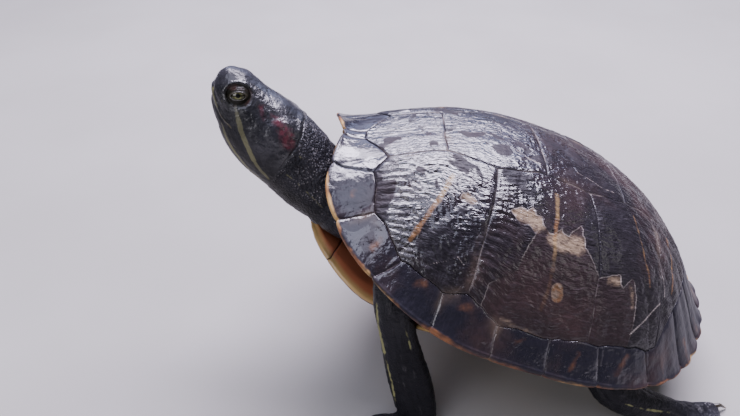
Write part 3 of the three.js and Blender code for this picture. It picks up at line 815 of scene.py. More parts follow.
# %% Horn of the plastron
def plastron_finish():
    """Yellow and orange horn, the yellow painted darker as shade, with dark smudges below and fine rings
    round each scute.
    """
    f = Finish("plastron_horn")
    place = f.place()
    fine, broad = f.noise(place, 190, detail=4), f.noise(place, 30, detail=4)
    edge, to_rim, upper = f.number("edge"), f.number("to_rim"), f.number("upper")
    colour = f.mix((to_rim + (broad - 0.5) * 8).rise(0.8, 5), PLASTRON_YELLOW_IN_SHADE, PLASTRON_ORANGE)
    below = upper.fall(0.2, 0.6)
    paler = f.mix(broad.rise(0.4, 0.65), PLASTRON_YELLOW_IN_SHADE, PLASTRON_ORANGE)
    colour = f.mix(below * 0.75, colour, paler)
    smudge = (edge + (broad - 0.5) * 16 + (fine - 0.5) * 3).rise(6, 10) * below
    colour = f.mix(smudge * 0.85, colour, HORN_DARK)
    stain = f.noise(place, 70, detail=4).rise(0.5, 0.75)
    colour = f.mix(stain * 0.35, colour, HORN_BROWN)
    colour = f.mix(edge.fall(0.1, 0.6) * 0.8, colour, HORN_BROWN)
    rings = f.vector(edge * 0.9, to_rim * 0.05)
    bump = f.bump(f.noise(rings, 1.0, detail=2) * 0.4 + fine * 0.3, 0.0003, 0.6)
    wet = f.noise(place, 30, detail=3).rise(0.45, 0.52)
    return f.surface(
        Base_Color=colour, Roughness=0.38 + (fine - 0.5) * 0.2, Coat_Weight=0.1 + wet * 0.5, Normal=bump,
        Coat_Roughness=0.12, Coat_IOR=1.4, IOR=1.45,
    )


plastron_horn = plastron_finish()
print("the plastron's finish has", len(plastron_horn.node_tree.nodes), "nodes")

# %% [markdown]
# ## The dome: vertebral and costal scutes
#
# Five vertebral scutes lie along the spine and four costal scutes on each side. The costals carry the
# strongest wrinkles, square to their front seam, where each year's growth began. The first costal is the
# most wrinkled of all, the vertebrals are worn nearly smooth.

# %% Which seams bound which scute
def on_midline(half):
    """A line across the midline, from its half on the left side."""
    return [*flip(half[::-1]), *half]


def vertebral_seams():
    """Front, rear, right and left seams of the five vertebral scutes."""
    nuchal = [INNER[0], V_FRONT]
    ends = [nuchal, [V_SEAM[0]], [V_SEAM[1]], [V_SEAM[2]], [V_SEAM[3]], [INNER[12], INNER[11], V_REAR]]
    middle_sides = [[V_SEAM[i], V_SIDE[i], V_SEAM[i + 1]] for i in range(3)]
    sides = [[V_FRONT, V_SEAM[0]], *middle_sides, [V_SEAM[3], V_REAR]]
    for i, left in enumerate(sides):
        front, rear = on_midline(ends[i]), on_midline(ends[i + 1])
        yield front, rear, flip(left), left


def costal_seams():
    """Front, rear, top and bottom seams of the four left costal scutes."""
    top, foot = [V_FRONT, V_SEAM[0], V_SIDE[0]], [*INNER[3:5], C_FOOT[0]]
    yield [V_FRONT, *INNER[1:4]], [V_SIDE[0], C_FOOT[0]], top, foot
    for i in (1, 2):
        front, rear = [V_SIDE[i - 1], C_FOOT[i - 1]], [V_SIDE[i], C_FOOT[i]]
        foot = [C_FOOT[i - 1], *INNER[2 * i + 3:2 * i + 5], C_FOOT[i]]
        yield front, rear, [V_SIDE[i - 1], V_SEAM[i], V_SIDE[i]], foot
    foot = [C_FOOT[2], *INNER[9:11], V_REAR]
    yield [V_SIDE[2], C_FOOT[2]], [V_SEAM[3], V_REAR], [V_SIDE[2], V_SEAM[3]], foot


print("vertebral scutes", len(list(vertebral_seams())), "costal scutes a side", len(list(costal_seams())))

# %% Make the dome's scutes
COSTAL_WRINKLES = [  # spacing, strength of the front ones and of the oblique ones
    (4.1, 0.56, 0.36), (4.1, 0.42, 0.2), (2.2, 0.16, 0.14), (2.2, 0.14, 0.12),
]
for number, seams in enumerate(vertebral_seams(), 1):
    scute(f"vertebral_{number}", "middle", seams, horn, spacing=2.4, front=0.12, oblique=0.12)
for number, (seams, look) in enumerate(zip(costal_seams(), COSTAL_WRINKLES), 1):
    scute(f"costal_{number}", "left", seams, horn, *look)
    scute(f"costal_{number}", "right", [flip(line) for line in seams], horn, *look)

# %% [markdown]
# ## The rim: marginal scutes and the nuchal
#
# A marginal scute wraps round the rim: it has a top, a rounded edge and an under side, and both show. It
# could be a flat plate bent over, but a closed profile carried along the rim is simpler. The grid's rows
# go once round the profile and its columns go along the rim. The first and last row meet and are merged,
# and the two open ends, which face the neighbours, are filled.

# %% Profile of the rim
PLATE_THICKNESS = 4.5
RIM_THICKNESS = 2.4
RIM_BULGE = 1.0
BRIDGE = (48, 62, 108, 122)  # degrees from the front between which the wedge grows and goes


def under_dome(plan):
    """Height of the inner side of the rim: thin at both ends, a solid wedge along the bridge."""
    share, angle = polar(plan)
    thin = dome(share, angle) - PLATE_THICKNESS + (PLATE_THICKNESS - RIM_THICKNESS) * step(0.88, 1, share)
    wedge = np.minimum(thin, rim_height(angle) - RIM_THICKNESS)
    turn = np.degrees(angle)
    bridge = step(*BRIDGE[:2], turn) * (1 - step(*BRIDGE[2:], turn))
    return thin + (wedge - thin) * bridge


def lerp(a, b, t):
    """Points at shares t of the way from a to b."""
    return a + (b - a) * np.asarray(t)[:, None]


def swept(t_count, rows):
    """A grid whose rows will go round a profile, and its columns along a seam."""
    bm = bmesh.new()
    bmesh.ops.create_grid(bm, x_segments=t_count, y_segments=rows, size=0.5)
    flat = places(bm) + 0.5
    return bm, flat[:, 0], flat[:, 1] * rows


def in_turn(row, runs):
    """For each run of a profile's rows, how far a row has come through it, from 0 to 1."""
    start = 0
    for count in runs:
        yield np.clip((row - start) / count, 0, 1)
        start += count


def close_ends(bm):
    """Merges the profile's first and last row, then fills the two open ends."""
    bmesh.ops.remove_doubles(bm, verts=bm.verts, dist=WELD)
    bmesh.ops.holes_fill(bm, edges=[edge for edge in bm.edges if edge.is_boundary])


print("inner side of the rim in front:", under_dome(np.array([[0, SHELL_CENTRE - RIM_RADIUS[0]]])).round(1))

# %% One scute of the rim
RIM_ROWS = (26, 7, 9, 3)  # on top, over the edge, below, and up the hidden wall


def rim_scute(kind, side, inner, start, end, material):
    """One scute of the rim between two angles, in degrees from the front."""
    rows = sum(RIM_ROWS)
    width = abs(math.radians(end - start)) * RIM_RADIUS[0]
    columns = max(int(width / GRID), 8)
    bm, t, row = swept(columns, rows)
    t = crowd(t, columns)
    angle = np.radians(start + (end - start) * t)
    outward = np.stack([np.sin(angle), -np.cos(angle)], -1)
    rim = outward * (rim_radius(angle) - RIM_BULGE)[:, None] + [0, SHELL_CENTRE]
    root = along(inner, t)
    if side == "right":
        outward, rim, root = outward * [-1, 1], rim * [-1, 1], root * [-1, 1]
    on_top, over_edge, below, up_wall = in_turn(row, RIM_ROWS)
    plan = wander(lerp(root, rim, on_top - below))
    top, under = on_dome(plan), np.c_[plan, under_dome(plan)]
    points = np.where((below > 0)[:, None], under, top)
    centre = (top + under) / 2
    turn = np.pi * (0.5 - over_edge)
    half = (top[:, 2] - centre[:, 2]) * np.sin(turn)
    round_edge = centre + np.c_[outward * (RIM_BULGE * np.cos(turn))[:, None], half]
    on_edge = (over_edge > 0) & (below == 0)
    points = np.where(on_edge[:, None], round_edge, points)
    points = points + (up_wall * (top - under)[:, 2])[:, None] * [0, 0, 1]

    span = np.linalg.norm(rim - root, axis=1)
    half_rim = RIM_THICKNESS / 2
    ends = np.minimum(t, 1 - t) * width * np.linalg.norm(plan - [0, SHELL_CENTRE], axis=1) / RIM_RADIUS[0]
    from_above = (1 - on_top) * span + half_rim * (0.5 - over_edge) * 2
    to_rim = np.where(below > 0, -(half_rim + below * span), from_above)
    to_rim = np.where(up_wall > 0, span, to_rim)
    edge = np.where(below > 0, ends, np.minimum(ends, on_top * span + over_edge * 9))
    swell = 0.25 * clouds(points, 15, 21) + 0.1 * clouds(points, 5, 22)
    furrows = 0.07 * clouds(np.c_[t * width / 1.6, on_top * span / 7, on_top], 1, 23)
    lip = -0.42 * np.exp(-edge / 0.4) - 0.15 * np.exp(-edge / 2.5)
    face = 1 - step(0, 0.3, over_edge)
    height = face * (lip + step(0.2, 2, edge) * (swell + furrows))
    normal = dome_normal(plan)
    seam_dip = np.where(on_edge | (below > 0), 0.5 * np.exp(-ends / 0.5), 0)
    points = points + height[:, None] * normal - np.c_[outward * seam_dip[:, None], 0 * seam_dip]
    points[row > rows - 0.5] = points[row < 0.5]
    move_to(bm.verts, points)
    store(bm, {
        "edge": edge, "rim": to_rim, "blotch": depth_in_lines(points, marks_of(BLOTCHES, kind, side)),
        "back": on_top * span, "down": t * width,
    })
    close_ends(bm)
    name, node = names_of(kind, side)
    return piece(name, bm, SHELL, material, [node])


print("rows round a scute of the rim", sum(RIM_ROWS))

# %% Make the rim's scutes
def inner_edges():
    """Inner seam of each marginal scute on the left, front to rear, with the corners that meet it."""
    extra = {0: V_FRONT, 4: C_FOOT[0], 6: C_FOOT[1], 8: C_FOOT[2], 10: V_REAR}
    for i in range(12):
        corner = [extra[i]] if i in extra else []
        yield [INNER[i], *corner, INNER[i + 1]]


for number, inner in enumerate(inner_edges(), 1):
    for side in ("left", "right"):
        rim_scute(f"marginal_{number}", side, inner, *MARGINAL_SEAM[number - 1:number + 1], rim_horn)
nuchal_half = MARGINAL_SEAM[0]
rim_scute("nuchal", "middle", on_midline([INNER[0]]), -nuchal_half, nuchal_half, rim_horn)

# %% [markdown]
# ## The plastron
#
# The lower shell is twelve scutes in six pairs, flat below, turned up at the sides to meet the carapace.
# Each is again a closed profile: from the midline out along the under side, round the edge, and back over
# the upper side, whose front part shows as an orange lip below the neck. Its columns run rearwards along
# the outline.

# %% Form of the plastron
PLASTRON_RADIUS = [
    116, 112, 104, 93, 78, 80, 90, 88.5, 86.5, 86,
    86.5, 88, 76, 65, 78, 89, 99, 108, 101,
]
PLASTRON_LEVEL = -36.5
PLASTRON_THICKNESS = 5
PLASTRON_EDGE = 1.5
FRONT_LOBE_RISE = 8
REAR_LOBE_RISE = 2.5
BRIDGE_RISE = 32
BRIDGE_SIDE = (48, 94)
PLASTRAL = ["gular", "humeral", "pectoral", "abdominal", "femoral", "anal"]
PLASTRAL_ANGLE = [0, 17, 41, 76, 118, 152, 180]
PLASTRAL_MIDLINE = [9, 34, 55, 86, 140, 180, 226]


def plastron_height(plan):
    """Height of the plastron's under side."""
    x, y = np.abs(plan[:, 0]), plan[:, 1]
    front = FRONT_LOBE_RISE * (1 - step(10, 60, y))
    return PLASTRON_LEVEL + front + REAR_LOBE_RISE * step(175, 230, y) + BRIDGE_RISE * step(*BRIDGE_SIDE, x)


def to_floor(plan):
    """Height in the shell's frame at which the floor cuts through."""
    return (FLOOR + plan[:, 1] * math.sin(SHELL_PITCH)) / math.cos(SHELL_PITCH)


rear = np.array([[0, PLASTRAL_MIDLINE[-1]]])
print("rear of the plastron at", plastron_height(rear).round(1), "and the floor at", to_floor(rear).round(1))

# %% Plastral scutes
PLASTRON_ROWS = (34, 6, 34, 3)  # below, over the edge, back on top, and down the wall at the midline
PLASTRON_GRID = 1.1
MM_PER_DEGREE = 1.6


def plastral_scute(name, side, start, end, middle, material):
    """One scute of the plastron between two angles of its outline."""
    columns = int(abs(math.radians(end - start)) * PLASTRON_RADIUS[0] / PLASTRON_GRID)
    bm, t, row = swept(columns, sum(PLASTRON_ROWS))
    angle = np.radians(start + (end - start) * t)
    outward = np.stack([np.sin(angle), -np.cos(angle)], -1)
    radius = smooth(PLASTRON_RADIUS, angle / np.pi) - PLASTRON_EDGE
    outline = outward * radius[:, None] + [SEAM_GAP, SHELL_CENTRE]
    midline = np.c_[np.full(len(t), SEAM_GAP), middle[0] + (middle[1] - middle[0]) * t]
    below, over_edge, on_top, down_wall = in_turn(row, PLASTRON_ROWS)
    share = below - on_top
    plan = lerp(midline, outline, share)
    plan[:, 1] += 0.5 * clouds(np.c_[plan, plan[:, 0]], 8, 31) * step(0, 6, plan[:, 0])
    thick = PLASTRON_THICKNESS - (PLASTRON_THICKNESS - 2 * PLASTRON_EDGE) * step(0.8, 1, share)
    turn = np.pi * (over_edge - 0.5)
    lift = np.where(over_edge > 0, 0.5 + 0.5 * np.sin(turn), 0)
    lift = np.where(on_top > 0, 1, lift) * thick * (1 - down_wall)
    reach = np.where((over_edge > 0) & (on_top == 0), PLASTRON_EDGE * np.cos(turn), 0)
    ends = np.minimum(t, 1 - t) * np.abs(end - start) * MM_PER_DEGREE
    edge = np.minimum(ends, np.abs(plan[:, 0]))
    dip = 0.45 * np.exp(-edge / 0.6)
    wave = 0.12 * clouds(np.c_[plan, thick], 9, 32)
    height = plastron_height(plan) + lift + np.where(lift > thick / 2, wave - dip, dip + wave)
    plan = plan + outward * reach[:, None]
    points = np.c_[plan, np.maximum(height, to_floor(plan) + 0.02)]
    if side == "right":
        points[:, 0] *= -1
    move_to(bm.verts, points)
    to_rim = (1 - share) * np.linalg.norm(outline - midline, axis=1)
    store(bm, {"edge": edge, "to_rim": to_rim, "upper": lift / thick})
    close_ends(bm)
    return piece(f"horn_{name}_{side}", bm, SHELL, material, ["plastron"])


for i, name in enumerate(PLASTRAL):
    for side in ("left", "right"):
        plastral_scute(name, side, *PLASTRAL_ANGLE[i:i + 2], PLASTRAL_MIDLINE[i:i + 2], plastron_horn)
print("plastral scutes", 2 * len(PLASTRAL))

# %% [markdown]
# ## One skin
#
# Head, neck, trunk, legs, feet and tail are one hide on the animal. Modelling them as one cage from the
# start would tie the density of the toes to that of the face. Instead each part is a plain closed tube
# through a row of sections, and a voxel remesh fuses the tubes into one even mesh, with no seam where they
# meet. Smoothing rounds the joins. Only then is the face refined, and the folds are pressed in.

# %% Sections of the soft body
HEAD_SECTIONS = [  # back from the tip, rise of the middle, half width, half height
    (1.0, 1.8, 2.6, 3.8), (3.6, 2.6, 8.2, 7.9), (9, 2.4, 12.2, 12.4), (15, -0.4, 14.0, 15.4),
    (24, -3.0, 17.1, 18.5), (34, -3.8, 19.6, 21.2), (44, -4.1, 21.1, 22.1), (54, -4, 21, 22.2),
    (64, -4.6, 20.2, 22), (76, -5.6, 21.3, 21), (90, -5, 24.3, 18.8), (104, -4, 26.8, 16.8),
    (122, -2, 25.8, 11.8),
]
FORELEG = [  # place, half width, half thickness
    ((22, 60, -18), 14, 11), ((42, 52, -20), 13.5, 10.5), ((60, 49, -36), 11.5, 9.5),
    ((67, 51.5, -56), 10.1, 8), ((72, 56.4, -76), 11.8, 7.8), ((78, 61.5, -95), 12, 7.6),
    ((82.5, 63.5, -105), 10.6, 6.4), ((87, 57, -111), 10, 4),
]
HINDLEG = [
    ((40, 172, -73), 12, 12), ((57, 168, -80), 13, 12.5), ((70, 174, -92), 11.5, 11.5),
    ((73, 190, -101), 9.4, 9.5), ((73, 204, -107), 8.8, 7.2), ((76, 216, -110.5), 9, 4.8),
]
TAIL = [
    ((0, 182, -96), 9, 8), ((1, 200, -104), 7.5, 6.5), ((4, 217, -110.6), 5, 4.8),
    ((9, 232, -113), 3, 2.6), ((15, 243, -114.2), 1.2, 1.2),
]
FOREFOOT = {
    "heel": (83, 66, -109.5), "toe": (95, 42, -112.8),
    "wide": (8, 12, 14), "thick": (6, 4.2, 2.2), "toes": 5,
}
HINDFOOT = {
    "heel": (73, 206, -109), "toe": (82, 237, -112.6),
    "wide": (8, 13, 17), "thick": (6.4, 4.6, 2.2), "toes": 4,
}
LEG_SHIFT = {"fore": -14, "hind": 8}  # how much further back a right leg ends than its left one
LEGS = [  # stations, foot, shift on the right, and the leg's own sideways
    (FORELEG, FOREFOOT, LEG_SHIFT["fore"], (0, 1, 0)),
    (HINDLEG, HINDFOOT, LEG_SHIFT["hind"], (0, 0.6, 0.8)),
]
print("sections of head and neck", len(HEAD_SECTIONS), "foreleg", len(FORELEG), "hind leg", len(HINDLEG))

# %% Tubes through sections
def tube(bm, stations, sideways, square=2.2, around=32, rings=10, ahead=None):
    """Adds a closed tube through (place, half width, half thickness) stations."""
    part, turn, row = swept(around, rings * (len(stations) - 1))
    t, turn = row / (rings * (len(stations) - 1)), 2 * np.pi * turn
    path = [place for place, _, _ in stations]
    centre = smooth(path, t)
    if ahead is None:
        ahead = smooth(path, t + 0.01) - smooth(path, t - 0.01)
    ahead = ahead / np.linalg.norm(ahead, axis=-1, keepdims=True) * np.ones((len(t), 1))
    up = np.cross(np.asarray(sideways, float), ahead)
    up /= np.linalg.norm(up, axis=1, keepdims=True)
    out = np.cross(ahead, up)
    across = np.sign(np.cos(turn)) * np.abs(np.cos(turn)) ** (2 / square)
    over = np.sign(np.sin(turn)) * np.abs(np.sin(turn)) ** (2 / square)
    wide, thick = smooth([s[1] for s in stations], t), smooth([s[2] for s in stations], t)
    move_to(part.verts, centre + out * (across * wide)[:, None] + up * (over * thick)[:, None])
    close_ends(part)
    bmesh.ops.recalc_face_normals(part, faces=part.faces)
    join(bm, part)


def join(bm, part):
    """Adds another bmesh to this one."""
    mesh = bpy.data.meshes.new("part")
    part.to_mesh(mesh)
    part.free()
    bm.from_mesh(mesh)
    bpy.data.meshes.remove(mesh)


def other_side(stations, shift):
    """Stations on the right side. They move along the body, as the animal doesn't stand symmetrically."""
    last = len(stations) - 1
    moved = []
    for i, ((x, y, z), wide, thick) in enumerate(stations):
        moved.append(((-x, y + shift * i / last, z), wide, thick))
    return moved


print("the right foreleg ends at", other_side(FORELEG, LEG_SHIFT["fore"])[-1][0])

# %% Feet
TOE_SIZES = [(3.0, 2.8), (2.6, 2.5), (2.3, 2.1), (1.4, 1.3)]  # half width and half thickness, root to tip


def heel_and_toe(foot, side, shift):
    """Both ends of a foot's sole, on its own side of the body."""
    return [(side * x, y + shift, z) for x, y, z in (foot["heel"], foot["toe"])]


def toes_of(foot, side, shift):
    """Root, knuckle, tip and direction of each toe of a foot."""
    heel, toe = map(Vector, heel_and_toe(foot, side, shift))
    ahead = Vector((toe.x - heel.x, toe.y - heel.y, 0)).normalized()
    sideways = Vector((-ahead.y, ahead.x, 0))
    middle = heel.lerp(toe, 0.45)
    for i in range(foot["toes"]):
        spread = i / (foot["toes"] - 1) * 2 - 1
        bend = (ahead + sideways * spread * 0.45).normalized()
        root = middle + sideways * spread * foot["wide"][1] * 0.62
        reach = ((toe - heel).length * 0.55 + 4.5) * (1 - 0.22 * spread * spread)
        tip = root + bend * reach
        tip.z = toe.z + 1.0
        knuckle = root.lerp(tip, 0.62) + Vector((0, 0, 1.3))
        yield root, knuckle, tip, bend, sideways


def foot_tubes(bm, foot, side, shift):
    """The sole with its web, and a tube for each toe."""
    heel, toe = np.array(heel_and_toe(foot, side, shift))
    ahead = (toe - heel) * [1, 1, 0]
    sideways = np.array([-ahead[1], ahead[0], 0]) / np.linalg.norm(ahead)
    sole = [(heel + (toe - heel) * s, w, h) for s, w, h in zip((0, 0.5, 1), foot["wide"], foot["thick"])]
    tube(bm, sole, sideways)
    for root, knuckle, tip, bend, across in toes_of(foot, side, shift):
        spots = (root, knuckle, tip - bend, tip + bend * 0.6)
        stations = [(tuple(spot), *size) for spot, size in zip(spots, TOE_SIZES)]
        tube(bm, stations, across, square=2, around=16, rings=6)


print("toes of a forefoot", FOREFOOT["toes"], "and of a hind foot", HINDFOOT["toes"])

# %% Trunk, and all the tubes
def trunk_form(bm):
    """The body inside the shell, a lathe-like form laid between dome and plastron."""
    rows, share_out = 20, 0.81
    part, turn, row = swept(64, 2 * rows)
    angle = 2 * np.pi * turn - np.pi
    share = 1 - np.abs(row / rows - 1)
    top = row <= rows
    plastron_edge = 0.87 * smooth(PLASTRON_RADIUS, np.abs(angle) / np.pi)
    edge = np.where(top, share_out * smooth(RIM_RADIUS, np.abs(angle) / np.pi), plastron_edge)
    edge = np.where(row == rows, (edge + plastron_edge) / 2, edge)
    plan = np.stack([share * edge * np.sin(angle), SHELL_CENTRE - share * edge * np.cos(angle)], -1)
    roof = dome(share * share_out, np.abs(angle)) - PLATE_THICKNESS - 3.2
    ground = plastron_height(plan) + PLASTRON_THICKNESS + 2.8
    move_to(part.verts, np.c_[plan, np.where(top, roof, ground)])
    bmesh.ops.remove_doubles(part, verts=part.verts, dist=1e-3)
    bmesh.ops.recalc_face_normals(part, faces=part.faces)
    bmesh.ops.transform(part, matrix=Matrix.Rotation(-SHELL_PITCH, 4, "X"), verts=part.verts)
    join(bm, part)


def flesh():
    """All the tubes of the soft body, in the body's frame."""
    bm = bmesh.new()
    head = []
    for back, rise, wide, high in HEAD_SECTIONS:
        head.append((np.array(HEAD_TIP) + HEAD_TURN @ [0, back, rise], wide, high))
    tube(bm, head, (1, 0, 0), square=2.1, around=64, ahead=HEAD_TURN @ [0, 1.0, 0])
    trunk_form(bm)
    tube(bm, TAIL, (1, 0, 0))
    for side in (1, -1):
        for leg, foot, shift, sideways in LEGS:
            tube(bm, leg if side > 0 else other_side(leg, shift), sideways)
            foot_tubes(bm, foot, side, 0 if side > 0 else shift)
    return bm


tubes = flesh()
print("tubes have", len(tubes.faces), "faces")

# %% [markdown]
# ## Fuse, thin out, refine
#
# The voxel size sets the density of the whole skin, one millimetre here. What the shell hides is thinned
# with a Decimate modifier, led by a vertex group. The head is split once, and the lids, nostrils and mouth
# once more, because lines there are a third of a millimetre wide.

# %% One modifier, applied
def with_modifier(bm, kind, group=None, **settings):
    """The bmesh after one modifier."""
    mesh = bpy.data.meshes.new("work")
    bm.to_mesh(mesh)
    bm.free()
    work = bpy.data.objects.new("work", mesh)
    bpy.context.scene.collection.objects.link(work)
    modifier = work.modifiers.new("work", kind)
    for key, value in settings.items():
        setattr(modifier, key, value)
    if group is not None:
        chosen = work.vertex_groups.new(name="chosen")
        chosen.add([int(i) for i in np.nonzero(group)[0]], 1, "REPLACE")
        modifier.vertex_group = "chosen"
    result = bpy.data.meshes.new_from_object(work.evaluated_get(bpy.context.evaluated_depsgraph_get()))
    bpy.data.objects.remove(work)
    bpy.data.meshes.remove(mesh)
    made = bmesh.new()
    made.from_mesh(result)
    bpy.data.meshes.remove(result)
    return made


print("one voxel remesh will fuse", len(tubes.verts), "vertices")

# %% From frame to frame, and smoothing
def to_shell(points):
    """Body frame to shell frame."""
    return points @ np.array(Matrix.Rotation(-SHELL_PITCH, 3, "X"))


def to_head(points):
    """Body frame to head frame."""
    return (points - np.array(HEAD_TIP)) @ HEAD_TURN


def from_head(points):
    """Head frame to body frame."""
    return points @ HEAD_TURN.T + np.array(HEAD_TIP)


def smooth_out(bm, verts, times):
    """Plain smoothing: each vertex goes half way to the middle of its neighbours."""
    for _ in range(times):
        bmesh.ops.smooth_vert(bm, verts=verts, factor=0.5, use_axis_x=True, use_axis_y=True, use_axis_z=True)


def soften(bm, times, where=None):
    """Smooths all vertices, or the chosen ones."""
    smooth_out(bm, bm.verts if where is None else [v for v, w in zip(bm.verts, where) if w], times)


def refine(bm, where, rounds=3):
    """Splits the chosen part of the mesh once and takes the facets out."""
    for vertex, chosen in zip(bm.verts, where):
        vertex.tag = bool(chosen)
    edges = [edge for edge in bm.edges if edge.verts[0].tag and edge.verts[1].tag]
    made = bmesh.ops.subdivide_edges(bm, edges=edges, cuts=1, use_grid_fill=True)
    fresh = {item for item in made["geom"] if isinstance(item, bmesh.types.BMVert)}
    fresh |= {vertex for edge in edges if edge.is_valid for vertex in edge.verts}
    smooth_out(bm, list(fresh), rounds)


print("the nose tip in the body's frame", from_head(np.zeros(3)).round(1))

# %% Fuse the skin and round the joins
VOXEL = 1.0
MID_BODY = [0, 125, -40]

skin = with_modifier(tubes, "REMESH", mode="VOXEL", voxel_size=VOXEL)
print("fused skin:", len(skin.faces), "faces")
soften(skin, 4)
at = places(skin)
behind_nose = to_head(at)[:, 1]
share, _ = polar(to_shell(at)[:, :2])
leg_roots = (share < 0.84) & (np.linalg.norm(at - MID_BODY, axis=1) < 125) & (behind_nose > 90)
neck_root = (behind_nose > 78) & (np.abs(at[:, 0]) < 45) & (at[:, 1] < 60)
soften(skin, 12, leg_roots)
soften(skin, 6, behind_nose < 60)
soften(skin, 14, neck_root)
print("rounded", int(leg_roots.sum()), "points at the legs' roots and", int(neck_root.sum()), "at the neck's")

# %% Thin out what the shell hides
THINNED = 0.92
SHARPNESS = 10  # how strongly the vertex group leads the Decimate modifier

shell_at = to_shell(places(skin))
share, _ = polar(shell_at[:, :2])
hidden = (share < 0.66) & (shell_at[:, 2] > plastron_height(shell_at) + 2)
hidden &= to_head(places(skin))[:, 1] > 95
total = len(skin.faces)
hidden_faces = sum(all(hidden[vertex.index] for vertex in face.verts) for face in skin.faces)
keep = 1 - THINNED * hidden_faces / total
skin = with_modifier(skin, "DECIMATE", hidden, ratio=keep, vertex_group_factor=SHARPNESS)
print("hidden", hidden_faces, "of", total, "thinned to", len(skin.faces))

# %% The eye's own frame
EYE_AXIS = np.array([0.925, -0.15, 0.36])
EYE_AXIS /= np.linalg.norm(EYE_AXIS)
LEVEL_BACK = np.array([0, math.cos(HEAD_PITCH), math.sin(HEAD_PITCH)])
EYE_LONG = LEVEL_BACK - LEVEL_BACK @ EYE_AXIS * EYE_AXIS
EYE_LONG /= np.linalg.norm(EYE_LONG)
EYE_UP = np.cross(EYE_LONG, EYE_AXIS)
EYE_UP *= np.sign(EYE_UP[2])
EYE_FRAME = np.stack([EYE_LONG, EYE_UP, EYE_AXIS])


def by_eye(points):
    """Places in the eye's frame: along the slit, up across it, and out of the head."""
    near = np.array(points, float)
    near[:, 0] = np.abs(near[:, 0])
    return (near - np.array(EYE_CENTRE)) @ EYE_FRAME.T


print("the slit of the eye lies level:", EYE_LONG.round(2))

# %% Split the head and the face
MOUTH = [(0, 0.6, -3.5), (3.4, 1.8, -3.6), (6.7, 4, -4.3), (9, 6.4, -5.2), (11, 9, -6.1), (12.4, 12, -7.2),
         (13.5, 14.7, -7.8), (14.7, 17.6, -7.9), (15.5, 20.4, -7.6)]
NOSTRIL = (1.7, 1.2, 3.6)
FACE_END = 32
SMOOTH_HEAD_END = 56


def from_line(points, line):
    """Distance from a line, or from a single place, that is drawn on the left and mirrored."""
    tree = tree_of(np.array(line) if len(line) < 2 else along(line, np.linspace(0, 1, 90)))
    return np.array([tree.find((abs(x), y, z))[2] for x, y, z in points])


def near_face(points, reach):
    """Whether points are close to the lids, the mouth or a nostril."""
    eye = by_eye(points)
    found = (np.hypot(eye[:, 0], eye[:, 1]) < 6.5 + reach) & (eye[:, 2] > -1)
    face = points[:, 1] < FACE_END
    found[face] |= from_line(points[face], MOUTH) < reach
    found[face] |= from_line(points[face], [NOSTRIL]) < 1.2 + reach
    return found


refine(skin, to_head(places(skin))[:, 1] < SMOOTH_HEAD_END, 4)
refine(skin, near_face(to_head(places(skin)), 1.7), 2)
print("refined skin:", len(skin.faces), "faces")

# %% [markdown]
# ## The face
#
# A slider's eye is a ball in a round socket. Two thick lids close over it from above and below, and their
# margins lie against the ball. They could be cut as separate shells, but a real lid is only skin that
# follows the ball, so the skin near the eye is laid on a slightly larger ball, and inside the opening it
# drops behind the ball's surface. The mouth is the edge of a horn beak that overhangs the lower jaw. The
# top of the snout and the front of the jaw are rounded out last.

# %% Lids
LID = 0.55
OPENING = (3.7, 1.75)
SOCKET = (6.9, 5.9)
LID_DROOP = 0.3
AWAY = 9.0  # stored where a point is too far from a line to matter


def normals(bm):
    """Directions straight out of the skin at its vertices."""
    bm.normal_update()
    return np.array([vertex.normal for vertex in bm.verts])


def bell(value, width):
    """1 at 0, falling smoothly to nearly 0 at twice the width."""
    return np.exp(-((value / width) ** 2))


def lay_lids(points):
    """Moves skin near the eye onto the lids. Returns places, and how far each lies from the lid margin."""
    eye = by_eye(points)
    along_slit, across, out = eye.T
    radius = np.hypot(along_slit, across)
    near = (radius < 12) & (out > -2)
    ball = np.sqrt(np.clip(EYE_RADIUS**2 - radius**2, 0.05, None))
    margin = np.hypot(along_slit / OPENING[0], (across + LID_DROOP) / OPENING[1]) - 1
    to_margin = margin * OPENING[1]
    socket = np.hypot(along_slit / SOCKET[0], across / SOCKET[1]) + 0.06 * clouds(points, 6, 61)
    lid = ball + LID + 0.22 * bell(to_margin - 0.3, 0.35) - 0.16 * bell(to_margin - 1.15, 0.3)
    lid -= 0.13 * bell(to_margin - 2.0, 0.25) + 0.10 * bell(to_margin - 2.8, 0.25)
    lid -= 0.1 * bell(to_margin - 3.5, 0.2)
    lid += 0.07 * clouds(points, 1.1, 62)
    hollow = 1 - step(-0.35, 0.1, to_margin)
    lid -= hollow * (LID + 1.6)
    onto = 1 - step(0.62, 0.97, socket)
    brow = 0.35 * step(0, 3, across)
    uneven = 1 + 0.9 * clouds(points, 4.5, 63)
    ring = (0.14 + brow) * bell(socket - 1.16, 0.17) - 0.2 * uneven * bell(socket - 0.95, 0.13)
    ring += 0.16 * uneven * bell(socket - 1.42, 0.12)
    target = out + (lid - out) * onto + ring
    out = np.where(near, target, out)
    sign = np.where(points[:, 0] < 0, -1.0, 1.0)
    moved = np.stack([along_slit, across, out], 1) @ EYE_FRAME + np.array(EYE_CENTRE)
    moved[:, 0] *= sign
    result = np.where(near[:, None], moved, points)
    return result, np.where(near, to_margin, AWAY), np.where(near, socket, AWAY)


print("half the opening between the lids is", OPENING, "mm, and half the socket", SOCKET, "mm")

# %% Beak and nostrils
def above_line(points, line):
    """Height of points over a line that runs back from the snout, at the same distance back."""
    backs, heights = np.array(line)[:, 1], np.array(line)[:, 2]
    return points[:, 2] - np.interp(points[:, 1], backs, heights)


